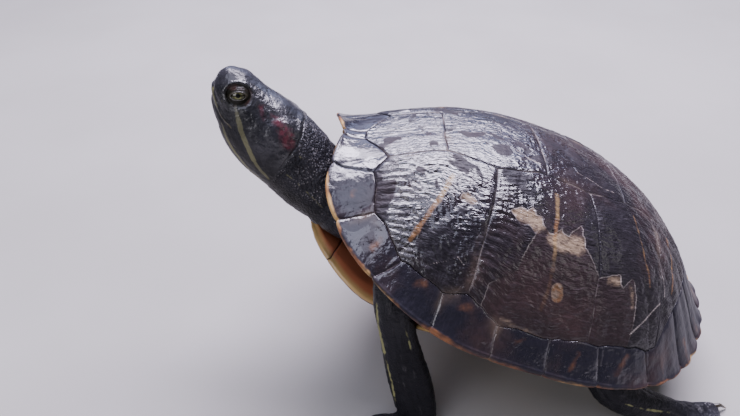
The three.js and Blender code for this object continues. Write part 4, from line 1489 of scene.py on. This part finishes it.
def shape_mouth(points, normal):
    """Presses the mouth line in, and lets the beak stand out over the lower jaw."""
    face = points[:, 1] < FACE_END
    away = np.full(len(points), AWAY)
    away[face] = from_line(points[face], MOUTH)
    over = above_line(points, MOUTH)
    fade = 1 - step(14, 21, points[:, 1])
    beak = 0.55 * bell(over - 0.9, 0.9) * fade - 0.45 * bell(over + 1.1, 1.2) * fade
    beak -= 0.22 * bell(over - 2.6, 0.5) * fade
    groove = -0.9 * bell(away, 0.34) * (0.45 + 0.55 * fade)
    near_tip = np.clip(1 - away / 6, 0, 1)
    return points + normal * (groove + beak * (near_tip > 0))[:, None], away, over


def shape_nostrils(points, normal):
    """Presses the nostrils in and gives each a low rim."""
    away = np.full(len(points), AWAY)
    snout = points[:, 1] < 9
    away[snout] = from_line(points[snout], [NOSTRIL])
    pit = -1.15 * bell(away, 0.62) + 0.16 * bell(away - 1.15, 0.35)
    return points + normal * pit[:, None], away


FULLER = [((0, 2.5, 8), 2.0, 6.5), ((0, 9, -9.5), 1.9, 6.5)]  # middle, how far out, how wide


def fill_snout(points, normal, socket):
    """Rounds out the top of the snout and the front of the jaw. The lids stay where they are."""
    for middle, deep, wide in FULLER:
        away = np.linalg.norm(points - middle, axis=1)
        points = points + normal * (deep * bell(away, wide) * step(1.15, 1.9, socket))[:, None]
    return points


print("the mouth runs", MOUTH[-1][1], "mm back")

# %% [markdown]
# ## Folds and grain
#
# Behind the jaw the smooth head skin ends in one fold, and the neck behind it is loose: it wrinkles
# across and is covered with grains. The skin over the eardrum bulges. Each line is a row of points in the
# head's frame, and the skin is pressed in by its distance from the line.

# %% Folds of the head and neck
TEMPLE_CREASES = [  # line, depth, width
    ([(5, 24, 13.2), (10.9, 26.9, 10.7), (13.4, 30.1, 9.0)], 0.42, 0.5),
    ([(8.4, 30.4, 13), (13.5, 33.6, 9.9), (17.2, 37.2, 6.1)], 0.42, 0.5),
    ([(12.7, 19.8, 6.8), (15.5, 25.8, 4.3), (17.1, 31, 2.9), (18.3, 38, 0)], 0.24, 0.7),
    ([(3, 18, 13), (8, 20, 12.2), (11.8, 21.5, 9.6)], 0.16, 0.6),
    ([(4, 6.5, 9.5), (7.6, 6.2, 7.6), (10.4, 7.4, 4.4), (11.8, 9, 1)], 0.18, 0.45),
    ([(13.2, 24, -12.5), (14.4, 31, -14), (15.5, 39, -15.5)], 0.2, 0.9),
]
NECK_FOLD = [  # height, back
    (17.4, 48), (17.1, 48.8), (14.9, 50.4), (11, 51.3), (5.6, 51.9),
    (0.5, 52.6), (-8, 54), (-16, 57), (-27, 60),
]
EARDRUM = (14.5, 41, 9)


def behind_fold(points):
    """How far behind the fold between head and neck."""
    heights = np.array(NECK_FOLD)[::-1]
    return points[:, 1] - np.interp(points[:, 2], heights[:, 0], heights[:, 1]) - 0.5 * clouds(points, 4, 41)


def fold_head(points, normal):
    """Presses in the creases and the fold, and lets the eardrum and the loose neck stand out."""
    near = points[:, 1] < 66
    height = np.zeros(len(points))
    for line, deep, wide in TEMPLE_CREASES:
        away = from_line(points[near], line)
        middle = np.array(line).mean(0)
        share = from_line(points[near], [tuple(middle)])
        half = np.linalg.norm(np.array(line[0]) - line[-1]) / 2
        fade = 1 - step(0.55 * half, 1.05 * half, share)
        height[near] += deep * fade * (0.22 * bell(away - 2.4 * wide, 1.6 * wide) - 1.3 * bell(away, wide))
    ear = np.array(EARDRUM)
    to_ear = np.linalg.norm(np.c_[np.abs(points[:, 0]), points[:, 1:]] - ear, axis=1)
    height += 0.9 * (1 - step(4, 10, to_ear))
    behind = behind_fold(points)
    high = step(-9, 4, points[:, 2])
    height += high * (0.4 * bell(behind + 1.8, 2.4) - 0.45 * bell(behind - 0.3, 0.42))
    height -= (1 - high) * 0.15 * bell(behind - 0.3, 0.8)
    loose = step(0, 1.5, behind)
    height -= (0.35 * high - 0.3) * loose * (1 - step(8, 34, behind))
    rings = np.sin(behind * 0.95 + 3.0 * clouds(points, 16, 42))
    reach = step(8, 26, behind)
    across = 0.42 * rings * (0.5 + 0.5 * clouds(points, 12, 44))
    height += reach * (0.75 * clouds(points * [1, 2.6, 1], 15, 43) + across)
    height += loose * (0.2 * clouds(points, 1.6, 45) + 0.14 * clouds(points, 0.95, 46))
    lumps = 0.25 * clouds(points, 9, 47) + 0.18 * clouds(points, 3, 48) + 0.09 * clouds(points, 1.3, 49)
    height += (1 - loose) * lumps
    return points + normal * height[:, None], behind


print("creases on each temple", len(TEMPLE_CREASES))

# %% Shape the head
def head_shape(bm):
    """Shapes the face and neck of the fused skin and returns the numbers its finish needs."""
    points = to_head(places(bm))
    part = points[:, 1] < 100
    normal = normals(bm) @ HEAD_TURN
    behind = np.full(len(points), 99.0)
    points[part], behind[part] = fold_head(points[part], normal[part])
    move_to(bm.verts, from_head(points))
    normal = normals(bm) @ HEAD_TURN
    points, mouth, over = shape_mouth(points, normal)
    points, nostril = shape_nostrils(points, normal)
    points, to_margin, socket = lay_lids(points)
    points = fill_snout(points, normal, socket)
    move_to(bm.verts, from_head(points))
    return {
        "behind": behind, "mouth": mouth, "over": over,
        "nostril": nostril, "lid": to_margin, "socket": socket,
    }


numbers = head_shape(skin)
print("lid margin points", int((np.abs(numbers["lid"]) < 0.3).sum()))

# %% [markdown]
# ## Legs, tail and feet
#
# The skin of the legs lies in long creases where it bends and in low scales where it faces forwards.
# A tube has its own way along and way round, so each skin point looks up the nearest leg and takes both
# from it. Stretched noise along the leg gives the creases. What touches the floor is pressed flat.

# %% Along and round a limb
def limb_grid(points, stations, sideways):
    """For points near a limb: way along it, way round it and distance from its middle."""
    line = along([s[0] for s in stations], np.linspace(0, 1, 60))
    steps = np.linalg.norm(np.diff(line, axis=0), axis=1).mean()
    tree = tree_of(line)
    found = [tree.find(point)[1:] for point in points]
    index = np.array([i for i, _ in found])
    away = np.array([d for _, d in found])
    ahead = np.gradient(line, axis=0)[index]
    ahead /= np.linalg.norm(ahead, axis=1, keepdims=True)
    up = np.cross(np.asarray(sideways, float), ahead)
    up /= np.linalg.norm(up, axis=1, keepdims=True)
    offset = points - line[index]
    on = (offset * ahead).sum(1)
    turn = np.arctan2((offset * up).sum(1), (offset * np.cross(ahead, up)).sum(1))
    return index * steps + on, turn, away


def all_limbs():
    """Stations and side direction of the four legs and the tail."""
    for side in (1, -1):
        for leg, _, shift, sideways in LEGS:
            yield leg if side > 0 else other_side(leg, shift), sideways
    yield TAIL, (1, 0, 0)


print("limbs, with the tail:", len(list(all_limbs())))

# %% Creases of the limbs
def crease_limbs(bm):
    """Creases and scales on legs and tail. Returns way along, way round and nearness for the finish."""
    points, normal = places(bm), normals(bm)
    height, way_along, near = (np.zeros(len(points)) for _ in range(3))
    way_round = np.zeros((len(points), 2))
    for stations, sideways in all_limbs():
        reach = max(s[1] for s in stations) + 7
        boxes = np.array([s[0] for s in stations])
        part = ((points > boxes.min(0) - reach) & (points < boxes.max(0) + reach)).all(1)
        part &= to_head(points)[:, 1] > 90
        on, turn, away = limb_grid(points[part], stations, sideways)
        weight = 1 - step(reach - 5, reach, away)
        ring = np.stack([np.cos(turn), np.sin(turn)], 1)
        long = clouds(np.c_[ring * 3.2, on / 15], 1, 51) + 0.6 * clouds(np.c_[ring * 6.5, on / 8], 1, 52)
        across = clouds(np.c_[ring * 1.3, on / 2.3], 1, 53)
        lumps = 0.5 * long - 0.35 * np.abs(long) + 0.28 * across + 0.12 * clouds(points[part], 1.6, 54)
        better = weight > near[part]
        index = np.nonzero(part)[0][better]
        height[index] = (lumps * weight)[better]
        way_along[index], way_round[index], near[index] = on[better], ring[better], weight[better]
    rest = (near < 0.4) & (to_head(points)[:, 1] > 70)
    height += np.where(rest, 0.3 * clouds(points, 6, 55), 0)
    low = step(FLOOR + 1, FLOOR + 5, points[:, 2])
    moved = points + normal * (height * low)[:, None]
    moved[:, 2] = np.where(moved[:, 2] < FLOOR + 0.3, FLOOR, moved[:, 2])
    move_to(bm.verts, moved)
    return {"along": way_along, "round_x": way_round[:, 0], "round_y": way_round[:, 1], "limb": near}


numbers.update(crease_limbs(skin))
on_floor = sum(abs(vertex.co.z - FLOOR) < 0.001 for vertex in skin.verts)
print("skin points on the floor", on_floor)

# %% [markdown]
# ## Markings of the skin
#
# The red patch behind the eye gives the slider its name. On an old dark one it has shrunk and dulled, and
# of the yellow lines only a few are left: the broad one from the eye to the neck, a thin one along the jaw,
# and a few on legs and tail. As on the horn, each skin point stores how deep inside a line it lies. The
# skin finish and every later copy of it then share one drawing.

# %% Lines on the skin
YELLOW_LINES = [  # line in the head's frame, half width
    ([(13, 15.3, 3.2), (14.3, 18.2, 1.4)], 0.9), ([(14.3, 18.2, 1.4), (15.8, 21.3, -0.5)], 1.2),
    ([(15.8, 21.3, -0.5), (17, 25.4, -3.3), (18.8, 32.9, -6.8), (19.5, 41.1, -10.7)], 1.5),
    ([(19.5, 41.1, -10.7), (19.2, 49, -13.5), (20, 60, -16), (21, 78, -17), (23, 95, -16)], 1.2),
    ([(5, 3, -2), (6.7, 5.1, -3.9), (9.4, 7.4, -5.2), (11.7, 9.7, -6.5),
      (12.6, 13, -9.2), (12.8, 16.6, -11.4)], 1.1),
    ([(12.8, 16.6, -11.4), (13.6, 24.4, -15.2), (14.6, 31.8, -17.2), (15, 45, -20.5), (15, 62, -22)], 1.2),
    ([(3.3, 1, 4.9), (7.8, 4.6, 6.2), (10.3, 6.6, 2.9), (12.2, 9.5, -0.8)], 0.12),
    ([(0, 4, -9), (0, 10, -13.5), (0, 20, -20), (3, 32, -25), (6, 52, -27), (8, 80, -25)], 0.9),
    ([(17.5, 56, 8), (19, 72, 7), (21, 90, 6)], 0.5), ([(20.5, 58, -4), (21, 74, -4), (24, 92, -4)], 0.45),
]
RED_LINES = [
    ([(10.9, 25.2, 10.9), (12.2, 27.8, 9.7), (13.4, 30.2, 8.8)], 0.85),
    ([(11.4, 33, 11.8), (12.8, 36.4, 11.8)], 1.4), ([(12.8, 36.4, 11.8), (14.5, 41.2, 11)], 2.6),
    ([(14.5, 41.2, 11), (16, 45.6, 9.7)], 3.5), ([(15.6, 44, 10), (16.8, 46.8, 9)], 3.6),
]
LEG_LINES = [  # the same in the body's frame
    ([(64, 41, -35), (67, 41.5, -43.5), (69.7, 43, -53.7), (72.2, 44.5, -62.8)], 1.9),
    ([(72.2, 44.5, -62.8), (75.9, 47, -73.1), (79.1, 49.4, -83.5), (84, 50.5, -98)], 0.95),
    ([(71.3, 53.7, -43.6), (72.5, 56, -49.9), (73.5, 57.8, -56.6), (76, 60, -70)], 0.5),
    ([(79.7, 170.5, -90.6), (81.6, 180.2, -92.1), (80.9, 192.7, -97), (79, 206, -102)], 0.7),
    ([(62, 180, -82), (63, 192, -92), (66, 206, -100)], 0.6),
]
TAIL_LINES = [([(6.5, 190, -95), (6, 200, -100), (6, 214, -107), (9.5, 228, -111)], 0.5)]


def depth_in(points, lines):
    """How deep inside the widest of some lines each point lies, mirrored left to right."""
    depth = np.full(len(points), OUTSIDE)
    near = np.c_[np.abs(points[:, 0]), points[:, 1:]]
    for line, half_width in lines:
        low, high = np.min(line, 0) - 5, np.max(line, 0) + 5
        part = ((near > low) & (near < high)).all(1)
        depth[part] = np.maximum(depth[part], half_width - from_line(points[part], line))
    return depth


def skin_marks(bm):
    """Numbers for the skin's markings at each point."""
    body_at = places(bm)
    head_at = to_head(body_at)
    on_fore, on_hind = step(-20, -106, body_at[:, 2]), step(-73, -107, body_at[:, 2])
    shift = np.where(body_at[:, 1] < 110, LEG_SHIFT["fore"] * on_fore, LEG_SHIFT["hind"] * on_hind)
    shifted = body_at.copy()
    shifted[:, 1] -= np.where(body_at[:, 0] < 0, shift, 0)
    yellow = np.maximum(depth_in(head_at, YELLOW_LINES), depth_in(shifted, LEG_LINES))
    yellow = np.maximum(yellow, depth_in(body_at, TAIL_LINES))
    return {"yellow": yellow, "red": depth_in(head_at, RED_LINES), "crown": head_at[:, 2]}


numbers.update(skin_marks(skin))
print("yellow points", int((numbers["yellow"] > 0).sum()), "red points", int((numbers["red"] > 0).sum()))

# %% [markdown]
# ## Skin finish
#
# Slider skin is dark slate above and olive below; the olive is painted darker, as shade under the head. On
# the head it is smooth as leather. On the neck it breaks into grains with pale tips, partly painted
# highlights kept to the upper neck where light falls, and on the legs into flat scales. Cells of a Voronoi
# texture give grains and scales, in the height as well as in the colour, and the stored numbers say where
# each belongs. As on the horn, a film of water is a second, smoother shader, mixed in mostly on the crown and
# the brow.

# %% Colours of the skin
SLATE = (0.0095, 0.0095, 0.0125)
SLATE_LIGHT = (0.028, 0.027, 0.034)
OLIVE_IN_SHADE = (0.012, 0.011, 0.008)
GRAIN_PALE = (0.34, 0.32, 0.33)
# The lines' yellow is dulled as painted shade of the lower head. On the legs a brighter yellow is mixed over
# it.
LINE_YELLOW_SHADED = (0.18, 0.172, 0.088)
LEG_YELLOW = (0.34, 0.34, 0.13)
PATCH_RED = (0.105, 0.015, 0.027)
LIMB_DARK = (0.007, 0.007, 0.0095)
BEAK_HORN = (0.16, 0.135, 0.075)
SOCKET_BROWN = (0.010, 0.0095, 0.006)
SOCKET_RED = (0.034, 0.015, 0.011)
RECESS_SHADE_DARK = (0.006, 0.005, 0.006)
print("skin reflects", SLATE, "to", SLATE_LIGHT)

# %% Skin finish
def skin_finish():
    """Colour, relief and film of the whole skin, led by the stored numbers."""
    f = Finish("slider_skin")
    place = f.place()
    behind, limb, lid = f.number("behind"), f.number("limb"), f.number("lid")
    broad = f.noise(place, 45, detail=4)
    fine = f.noise(place, 420, detail=3)
    mottle = f.noise(place, 150, detail=3)
    ragged = (fine - 0.5) * 1.1 + (mottle - 0.5) * 0.7

    under = f.number("crown").fall(-18, -4) * behind.fall(60, 110)
    colour = f.mix(broad.rise(0.35, 0.7), SLATE, SLATE_LIGHT)
    # The olive underside is the skin's own colour, painted darker as shade under the head.
    colour = f.mix(under * 0.8, colour, OLIVE_IN_SHADE)
    loose = behind.rise(0, 1.5) * limb.fall(0.1, 0.5)
    grains = f.cells(place, 820)
    # Pale grain tips are partly painted highlights, kept to the upper neck where light falls.
    upper = 0.12 + f.number("crown").rise(-14, 0) * 0.88
    tips = grains.fall(0.12, 0.46) * loose * mottle.rise(0.44, 0.6) * upper
    colour = f.mix(tips * 0.6, colour, GRAIN_PALE)
    colour = f.mix(limb * 0.7, colour, LIMB_DARK)
    scales = f.cells(place, 330, "DISTANCE_TO_EDGE")
    lengthwise = f.vector(f.number("round_x") * 2.4, f.number("round_y") * 2.4, f.number("along") * 0.07)
    creases = f.noise(lengthwise, 1.5, detail=5, roughness=0.6)
    pale = creases.rise(0.56, 0.66) * creases.fall(0.66, 0.76) * mottle.rise(0.45, 0.62)
    colour = f.mix(pale * limb * 0.12, colour, GRAIN_PALE)

    # Yellow lines, in a colour dulled as painted shade.
    yellow = (f.number("yellow") + ragged * 0.6).rise(-0.25, 0.35)
    colour = f.mix(yellow * (0.45 + broad.rise(0.3, 0.6) * 0.35 + limb * 0.35), colour, LINE_YELLOW_SHADED)
    colour = f.mix(yellow * limb * 0.4, colour, LEG_YELLOW)
    red = (f.number("red") + ragged * 3.2).rise(-1.5, 2.2)
    colour = f.mix(red * (0.4 + fine.rise(0.38, 0.6) * 0.45), colour, PATCH_RED)

    over, mouth = f.number("over"), f.number("mouth")
    beak = over.rise(0.0, 0.3) * over.fall(0.8, 1.3) * mouth.fall(1.0, 1.8)
    colour = f.mix(beak * (0.3 + mottle.rise(0.4, 0.6) * 0.3), colour, BEAK_HORN)
    socket = f.number("socket")
    lid_colour = f.mix(mottle.rise(0.44, 0.6) * lid.rise(0.8, 2), SOCKET_BROWN, SOCKET_RED)
    colour = f.mix(socket.fall(0.8, 1.15) * 0.95, colour, lid_colour)
    rim = lid.rise(-0.1, 0.15) * lid.fall(0.35, 0.7)
    colour = f.mix(rim * 0.15, colour, BEAK_HORN)
    # Painted shade: the mouth line, the inside of the lid opening and the nostril pits are darkened where
    # shade falls in them.
    inside = mouth.fall(0.18, 0.4).most(lid.fall(-0.5, -0.1)).most(f.number("nostril").fall(0.3, 0.7))
    colour = f.mix(inside * 0.9, colour, RECESS_SHADE_DARK)

    grain_height = (1 - grains * grains * 1.6) * loose * 0.9
    scale_height = (scales.rise(0.0, 0.16) * 0.25 + creases * 3.2) * limb
    crackle = 1 - (f.noise(place, 330, detail=3) - 0.5).math("ABSOLUTE") * 5
    leather = f.noise(place, 900, detail=3) * 0.3 + mottle * 0.7 + crackle * 0.3
    bump = f.bump(grain_height + scale_height + leather, 0.00042, 0.8)
    wet = f.noise(place, 70, detail=3, distortion=0.5).rise(0.38, 0.54)
    dull = loose.most(limb).most(under) * 0.8
    sunk = socket.fall(0.85, 1.1) * lid.rise(0.3, 0.8)
    above = 0.1 + f.number("crown").rise(-10, 4) * 0.9
    film = (0.35 + wet * 0.6) * (1 - dull) * (1 - sunk * 0.9) * above
    return f.surface(
        film, {"Roughness": 0.29 + (fine - 0.5) * 0.2, "IOR": 1.7},
        Base_Color=colour, Roughness=0.46 + (fine - 0.5) * 0.2, Normal=bump, IOR=1.24,
    )


skin_look = skin_finish()
print("the skin's finish has", len(skin_look.node_tree.nodes), "nodes")

# %% [markdown]
# ## Finish the skin
#
# The skin is kept below 200,000 triangles. The creases have been pressed in by now, so behind the head
# the even grid has done its work, and a Decimate modifier takes triangles away where that changes the
# shape least. The stored numbers stay with the vertices. What touches the floor stays flat.

# %% The one skin
SKIN_TRIANGLES = 192_000


def triangles(bm):
    """How many triangles the faces will be split into."""
    return sum(len(face.verts) - 2 for face in bm.faces)


def flesh_nodes():
    """The nodes of the frame that the skin replaces."""
    found = ["trunk", "neck", "head", "tail"]
    for limb in ("fore", "hind"):
        for side in ("left", "right"):
            found += [f"{limb}foot_{side}", f"{limb}leg_{side}_upper", f"{limb}leg_{side}_lower"]
    return found


store(skin, numbers)
total = triangles(skin)
calm = (numbers["behind"] > 1.5) & (places(skin)[:, 2] > FLOOR + 0.5)
skin = with_modifier(skin, "DECIMATE", calm, ratio=SKIN_TRIANGLES / total, vertex_group_factor=SHARPNESS)
print("skin thinned behind the head from", total, "triangles to", triangles(skin))
skin_piece = piece("skin", skin, BODY, skin_look, flesh_nodes())
print("skin has", len(skin_piece.data.polygons), "faces and replaces", len(flesh_nodes()), "nodes")

# %% [markdown]
# ## Eyes
#
# The eye is a ball with a clear, slightly steeper cornea in front. A slider's iris is yellow green with a
# dark bar lying level through the pupil. The clear layer could be a second ball, but a coat on the
# finish gives the same wet glint without it. The ball is turned so that its own bar lies along the slit.

# %% Finish of the eye
IRIS_RADIUS = 3.3
PUPIL_RADIUS = 1.15
IRIS_DARK = (0.04, 0.04, 0.012)
IRIS_GREEN = (0.115, 0.118, 0.034)
IRIS_RING = (0.27, 0.27, 0.09)
BAR_BROWN = (0.02, 0.016, 0.006)
BALL_BROWN = (0.03, 0.026, 0.014)
PUPIL_BLACK = (0.002, 0.002, 0.002)


def eye_finish():
    """Pupil, bar and iris, drawn by the distance from the eye's axis."""
    f = Finish("eyeball")
    bar_along, bar_across, radius = f.number("slit"), f.number("lift"), f.number("radius")
    turn = bar_across.math("ARCTAN2", bar_along)
    spokes = f.noise(f.vector(turn * 5, radius * 0.7), 1.6, detail=4)
    iris = f.mix(spokes.rise(0.35, 0.65), IRIS_DARK, IRIS_GREEN)
    iris = f.mix(radius.rise(1.1, 1.35) * radius.fall(1.5, 2.0) * 0.7, iris, IRIS_RING)
    level = bar_across + (spokes - 0.5) * 0.6
    bar = level.rise(-0.85, -0.5) * level.fall(0.5, 0.85) * radius.rise(0.7, 1.2)
    colour = f.mix(bar * 0.85, iris, BAR_BROWN)
    colour = f.mix(radius.rise(IRIS_RADIUS - 0.5, IRIS_RADIUS), colour, BALL_BROWN)
    colour = f.mix(radius.fall(PUPIL_RADIUS - 0.1, PUPIL_RADIUS + 0.08), colour, PUPIL_BLACK)
    return f.surface(Base_Color=colour, Roughness=0.25, Coat_Weight=1.0, Coat_Roughness=0.02, Coat_IOR=1.376)


eye_look = eye_finish()
print("the eye's finish has", len(eye_look.node_tree.nodes), "nodes")

# %% Eyeballs
CORNEA_RISE = 0.22


def eyeball(side, sign, material):
    """A ball with a slightly steeper front, turned to its place in the head."""
    bm = bmesh.new()
    bmesh.ops.create_uvsphere(bm, u_segments=64, v_segments=48, radius=EYE_RADIUS - CORNEA_RISE)
    at = places(bm)
    radius = np.hypot(at[:, 0], at[:, 1])
    front = at[:, 2] > 0
    lift = np.where(front, CORNEA_RISE * (1 - step(2.2, 4.2, radius)), 0)
    at += at / np.linalg.norm(at, axis=1, keepdims=True) * lift[:, None]
    store(bm, {"slit": at[:, 0], "lift": at[:, 1], "radius": np.where(front, radius, 9)})
    placed = (at @ EYE_FRAME + np.array(EYE_CENTRE)) * [sign, 1, 1]
    move_to(bm.verts, placed)
    return piece(f"eyeball_{side}", bm, HEAD, material, [f"eye_{side}"])


for side, sign in (("left", 1), ("right", -1)):
    eyeball(side, sign, eye_look)
print("eyeballs of radius", EYE_RADIUS, "mm")

# %% [markdown]
# ## Claws
#
# Every toe ends in a curved claw of dark horn with a paler tip. Each is one tapering tube that bends down
# to the floor, and it starts inside the toe, under a fold of skin.

# %% Claws
CLAW_LENGTH = 7.4
CLAW_DARK = (0.035, 0.028, 0.02)
CLAW_PALE = (0.24, 0.19, 0.12)


def claw_finish():
    """Dark horn that pales towards the tip, with a grain along the claw."""
    f = Finish("claw_horn")
    place = f.place()
    tip = f.number("tip")
    grain = f.noise(f.scaled(place, (500, 500, 90)), 1.0, detail=3)
    colour = f.mix((tip + (grain - 0.5) * 0.5).rise(0.4, 1.0), CLAW_DARK, CLAW_PALE)
    bump = f.bump(grain, 0.00008, 0.5)
    return f.surface(
        Base_Color=colour, Roughness=0.25 + grain * 0.2, Coat_Weight=0.35, Coat_Roughness=0.15, Normal=bump,
    )


def claws(name, foot, side, sign, shift, material):
    """The claws of one foot, as one piece."""
    bm = bmesh.new()
    for root, knuckle, tip, bend, across in toes_of(foot, sign, shift):
        start, middle, end = tip - bend * 2.2, tip + bend * 2.6, tip + bend * CLAW_LENGTH
        start.z, middle.z, end.z = tip.z + 0.5, tip.z + 0.75, FLOOR + 0.75
        stations = [(tuple(start), 1.25, 1.35), (tuple(tip + Vector((0, 0, 0.75))), 1.35, 1.45),
                    (tuple(middle), 1.05, 1.2), (tuple(end), 0.32, 0.36)]
        tube(bm, stations, across, square=2, around=16, rings=7)
    at = places(bm)
    tips = [tip for _, _, tip, _, _ in toes_of(foot, sign, shift)]
    from_tip = np.array([min((Vector(place) - tip).length for tip in tips) for place in at])
    store(bm, {"tip": np.clip(from_tip / CLAW_LENGTH, 0, 1)})
    move_to(bm.verts, np.c_[at[:, :2], np.maximum(at[:, 2], FLOOR)])
    return piece(f"claws_{name}_{side}", bm, BODY, material, [f"{name}_{side}"])


claw_look = claw_finish()
for side, sign in (("left", 1), ("right", -1)):
    claws("forefoot", FOREFOOT, side, sign, LEG_SHIFT["fore"] if sign < 0 else 0, claw_look)
    claws("hindfoot", HINDFOOT, side, sign, LEG_SHIFT["hind"] if sign < 0 else 0, claw_look)
print("claws on four feet:", 2 * (FOREFOOT["toes"] + HINDFOOT["toes"]))

# %% [markdown]
# ## Studio
#
# The animal stands on a plain pale floor. One strong softbox hangs overhead on its right side, where the
# open sky would be, so its reflection lies along the top of the shell and the brow and leaves the near
# flank dark. A weak bluish one stands low behind it, and three more weak ones, overhead, in front and
# behind, keep the shadows open.

# %% Floor
def floor(size=3.0):
    """A plain floor of pale paper."""
    bm = bmesh.new()
    bmesh.ops.create_grid(bm, x_segments=1, y_segments=1, size=size)
    mesh = bpy.data.meshes.new("floor")
    bm.to_mesh(mesh)
    bm.free()
    f = Finish("floor_paper")
    mottle = f.noise(f.place(), 6).rise(0.3, 0.7)
    paper = f.mix(mottle, (0.32, 0.31, 0.29), (0.345, 0.335, 0.315))
    mesh.materials.append(f.surface(Base_Color=paper, Roughness=0.9))
    made = bpy.data.objects.new("floor", mesh)
    bpy.context.scene.collection.objects.link(made)


floor()

# %% Lights
SOFTBOXES = [  # name, place, height of its target, size, power, colour
    ("sky_panel", (-0.62, 0.1, 1.32), 0.12, (1.4, 0.6), 90, (0.86, 0.80, 1.0)),
    ("low_panel", (-1.3, 0.0, 0.8), 0.12, (1.8, 0.7), 10, (0.55, 0.62, 1.0)),
    ("overhead_panel", (0.4, -0.3, 1.35), 0.12, (0.8, 0.9), 8, (0.76, 0.78, 1.0)),
    ("front_panel", (1.0, -0.95, 0.8), 0.1, (1.0, 0.7), 8, (0.95, 0.92, 1.0)),
    ("rear_panel", (0.7, 1.3, 0.9), 0.1, (0.9, 0.5), 2, (1.0, 0.97, 0.93)),
]
SKY_TINT = (0.75, 0.82, 0.9, 1)
SKY_STRENGTH = 0.07


def softbox(name, place, target_height, size, power, colour):
    """A rectangular lamp that points at the middle of the animal."""
    lamp = bpy.data.lights.new(name, "AREA")
    lamp.shape = "RECTANGLE"
    lamp.size, lamp.size_y = size
    lamp.energy = power
    lamp.color = colour
    made = bpy.data.objects.new(name, lamp)
    made.location = place
    made.rotation_euler = (Vector((0, 0, target_height)) - Vector(place)).to_track_quat("-Z", "Y").to_euler()
    bpy.context.scene.collection.objects.link(made)


for row in SOFTBOXES:
    softbox(*row)
world = bpy.data.worlds.new("studio")
world.use_nodes = True
world.node_tree.nodes["Background"].inputs["Color"].default_value = SKY_TINT
world.node_tree.nodes["Background"].inputs["Strength"].default_value = SKY_STRENGTH
bpy.context.scene.world = world

# %% Camera
CAMERA_PLACE = (0.2860, -0.0600, 0.30675)
CAMERA_FORWARD = (-0.80211, -0.02660, -0.59658)
CAMERA_UP = (-0.59625, -0.01977, 0.80255)
LENS = 29.09


def look(place, forward, up, lens):
    """Makes the scene's camera from its place and two directions."""
    camera = bpy.data.cameras.new("camera")
    camera.lens = lens
    camera.sensor_width = 36
    camera.clip_start = 0.01
    made = bpy.data.objects.new("camera", camera)
    back = -Vector(forward).normalized()
    right = Vector(up).cross(back).normalized()
    turn = Matrix((right, back.cross(right), back)).transposed()
    made.matrix_world = Matrix.Translation(place) @ turn.to_4x4()
    bpy.context.scene.collection.objects.link(made)
    bpy.context.scene.camera = made


look(CAMERA_PLACE, CAMERA_FORWARD, CAMERA_UP, LENS)
print("camera", round(Vector(CAMERA_PLACE).length, 2), "m from the middle of the floor under the animal")

# %% [markdown]
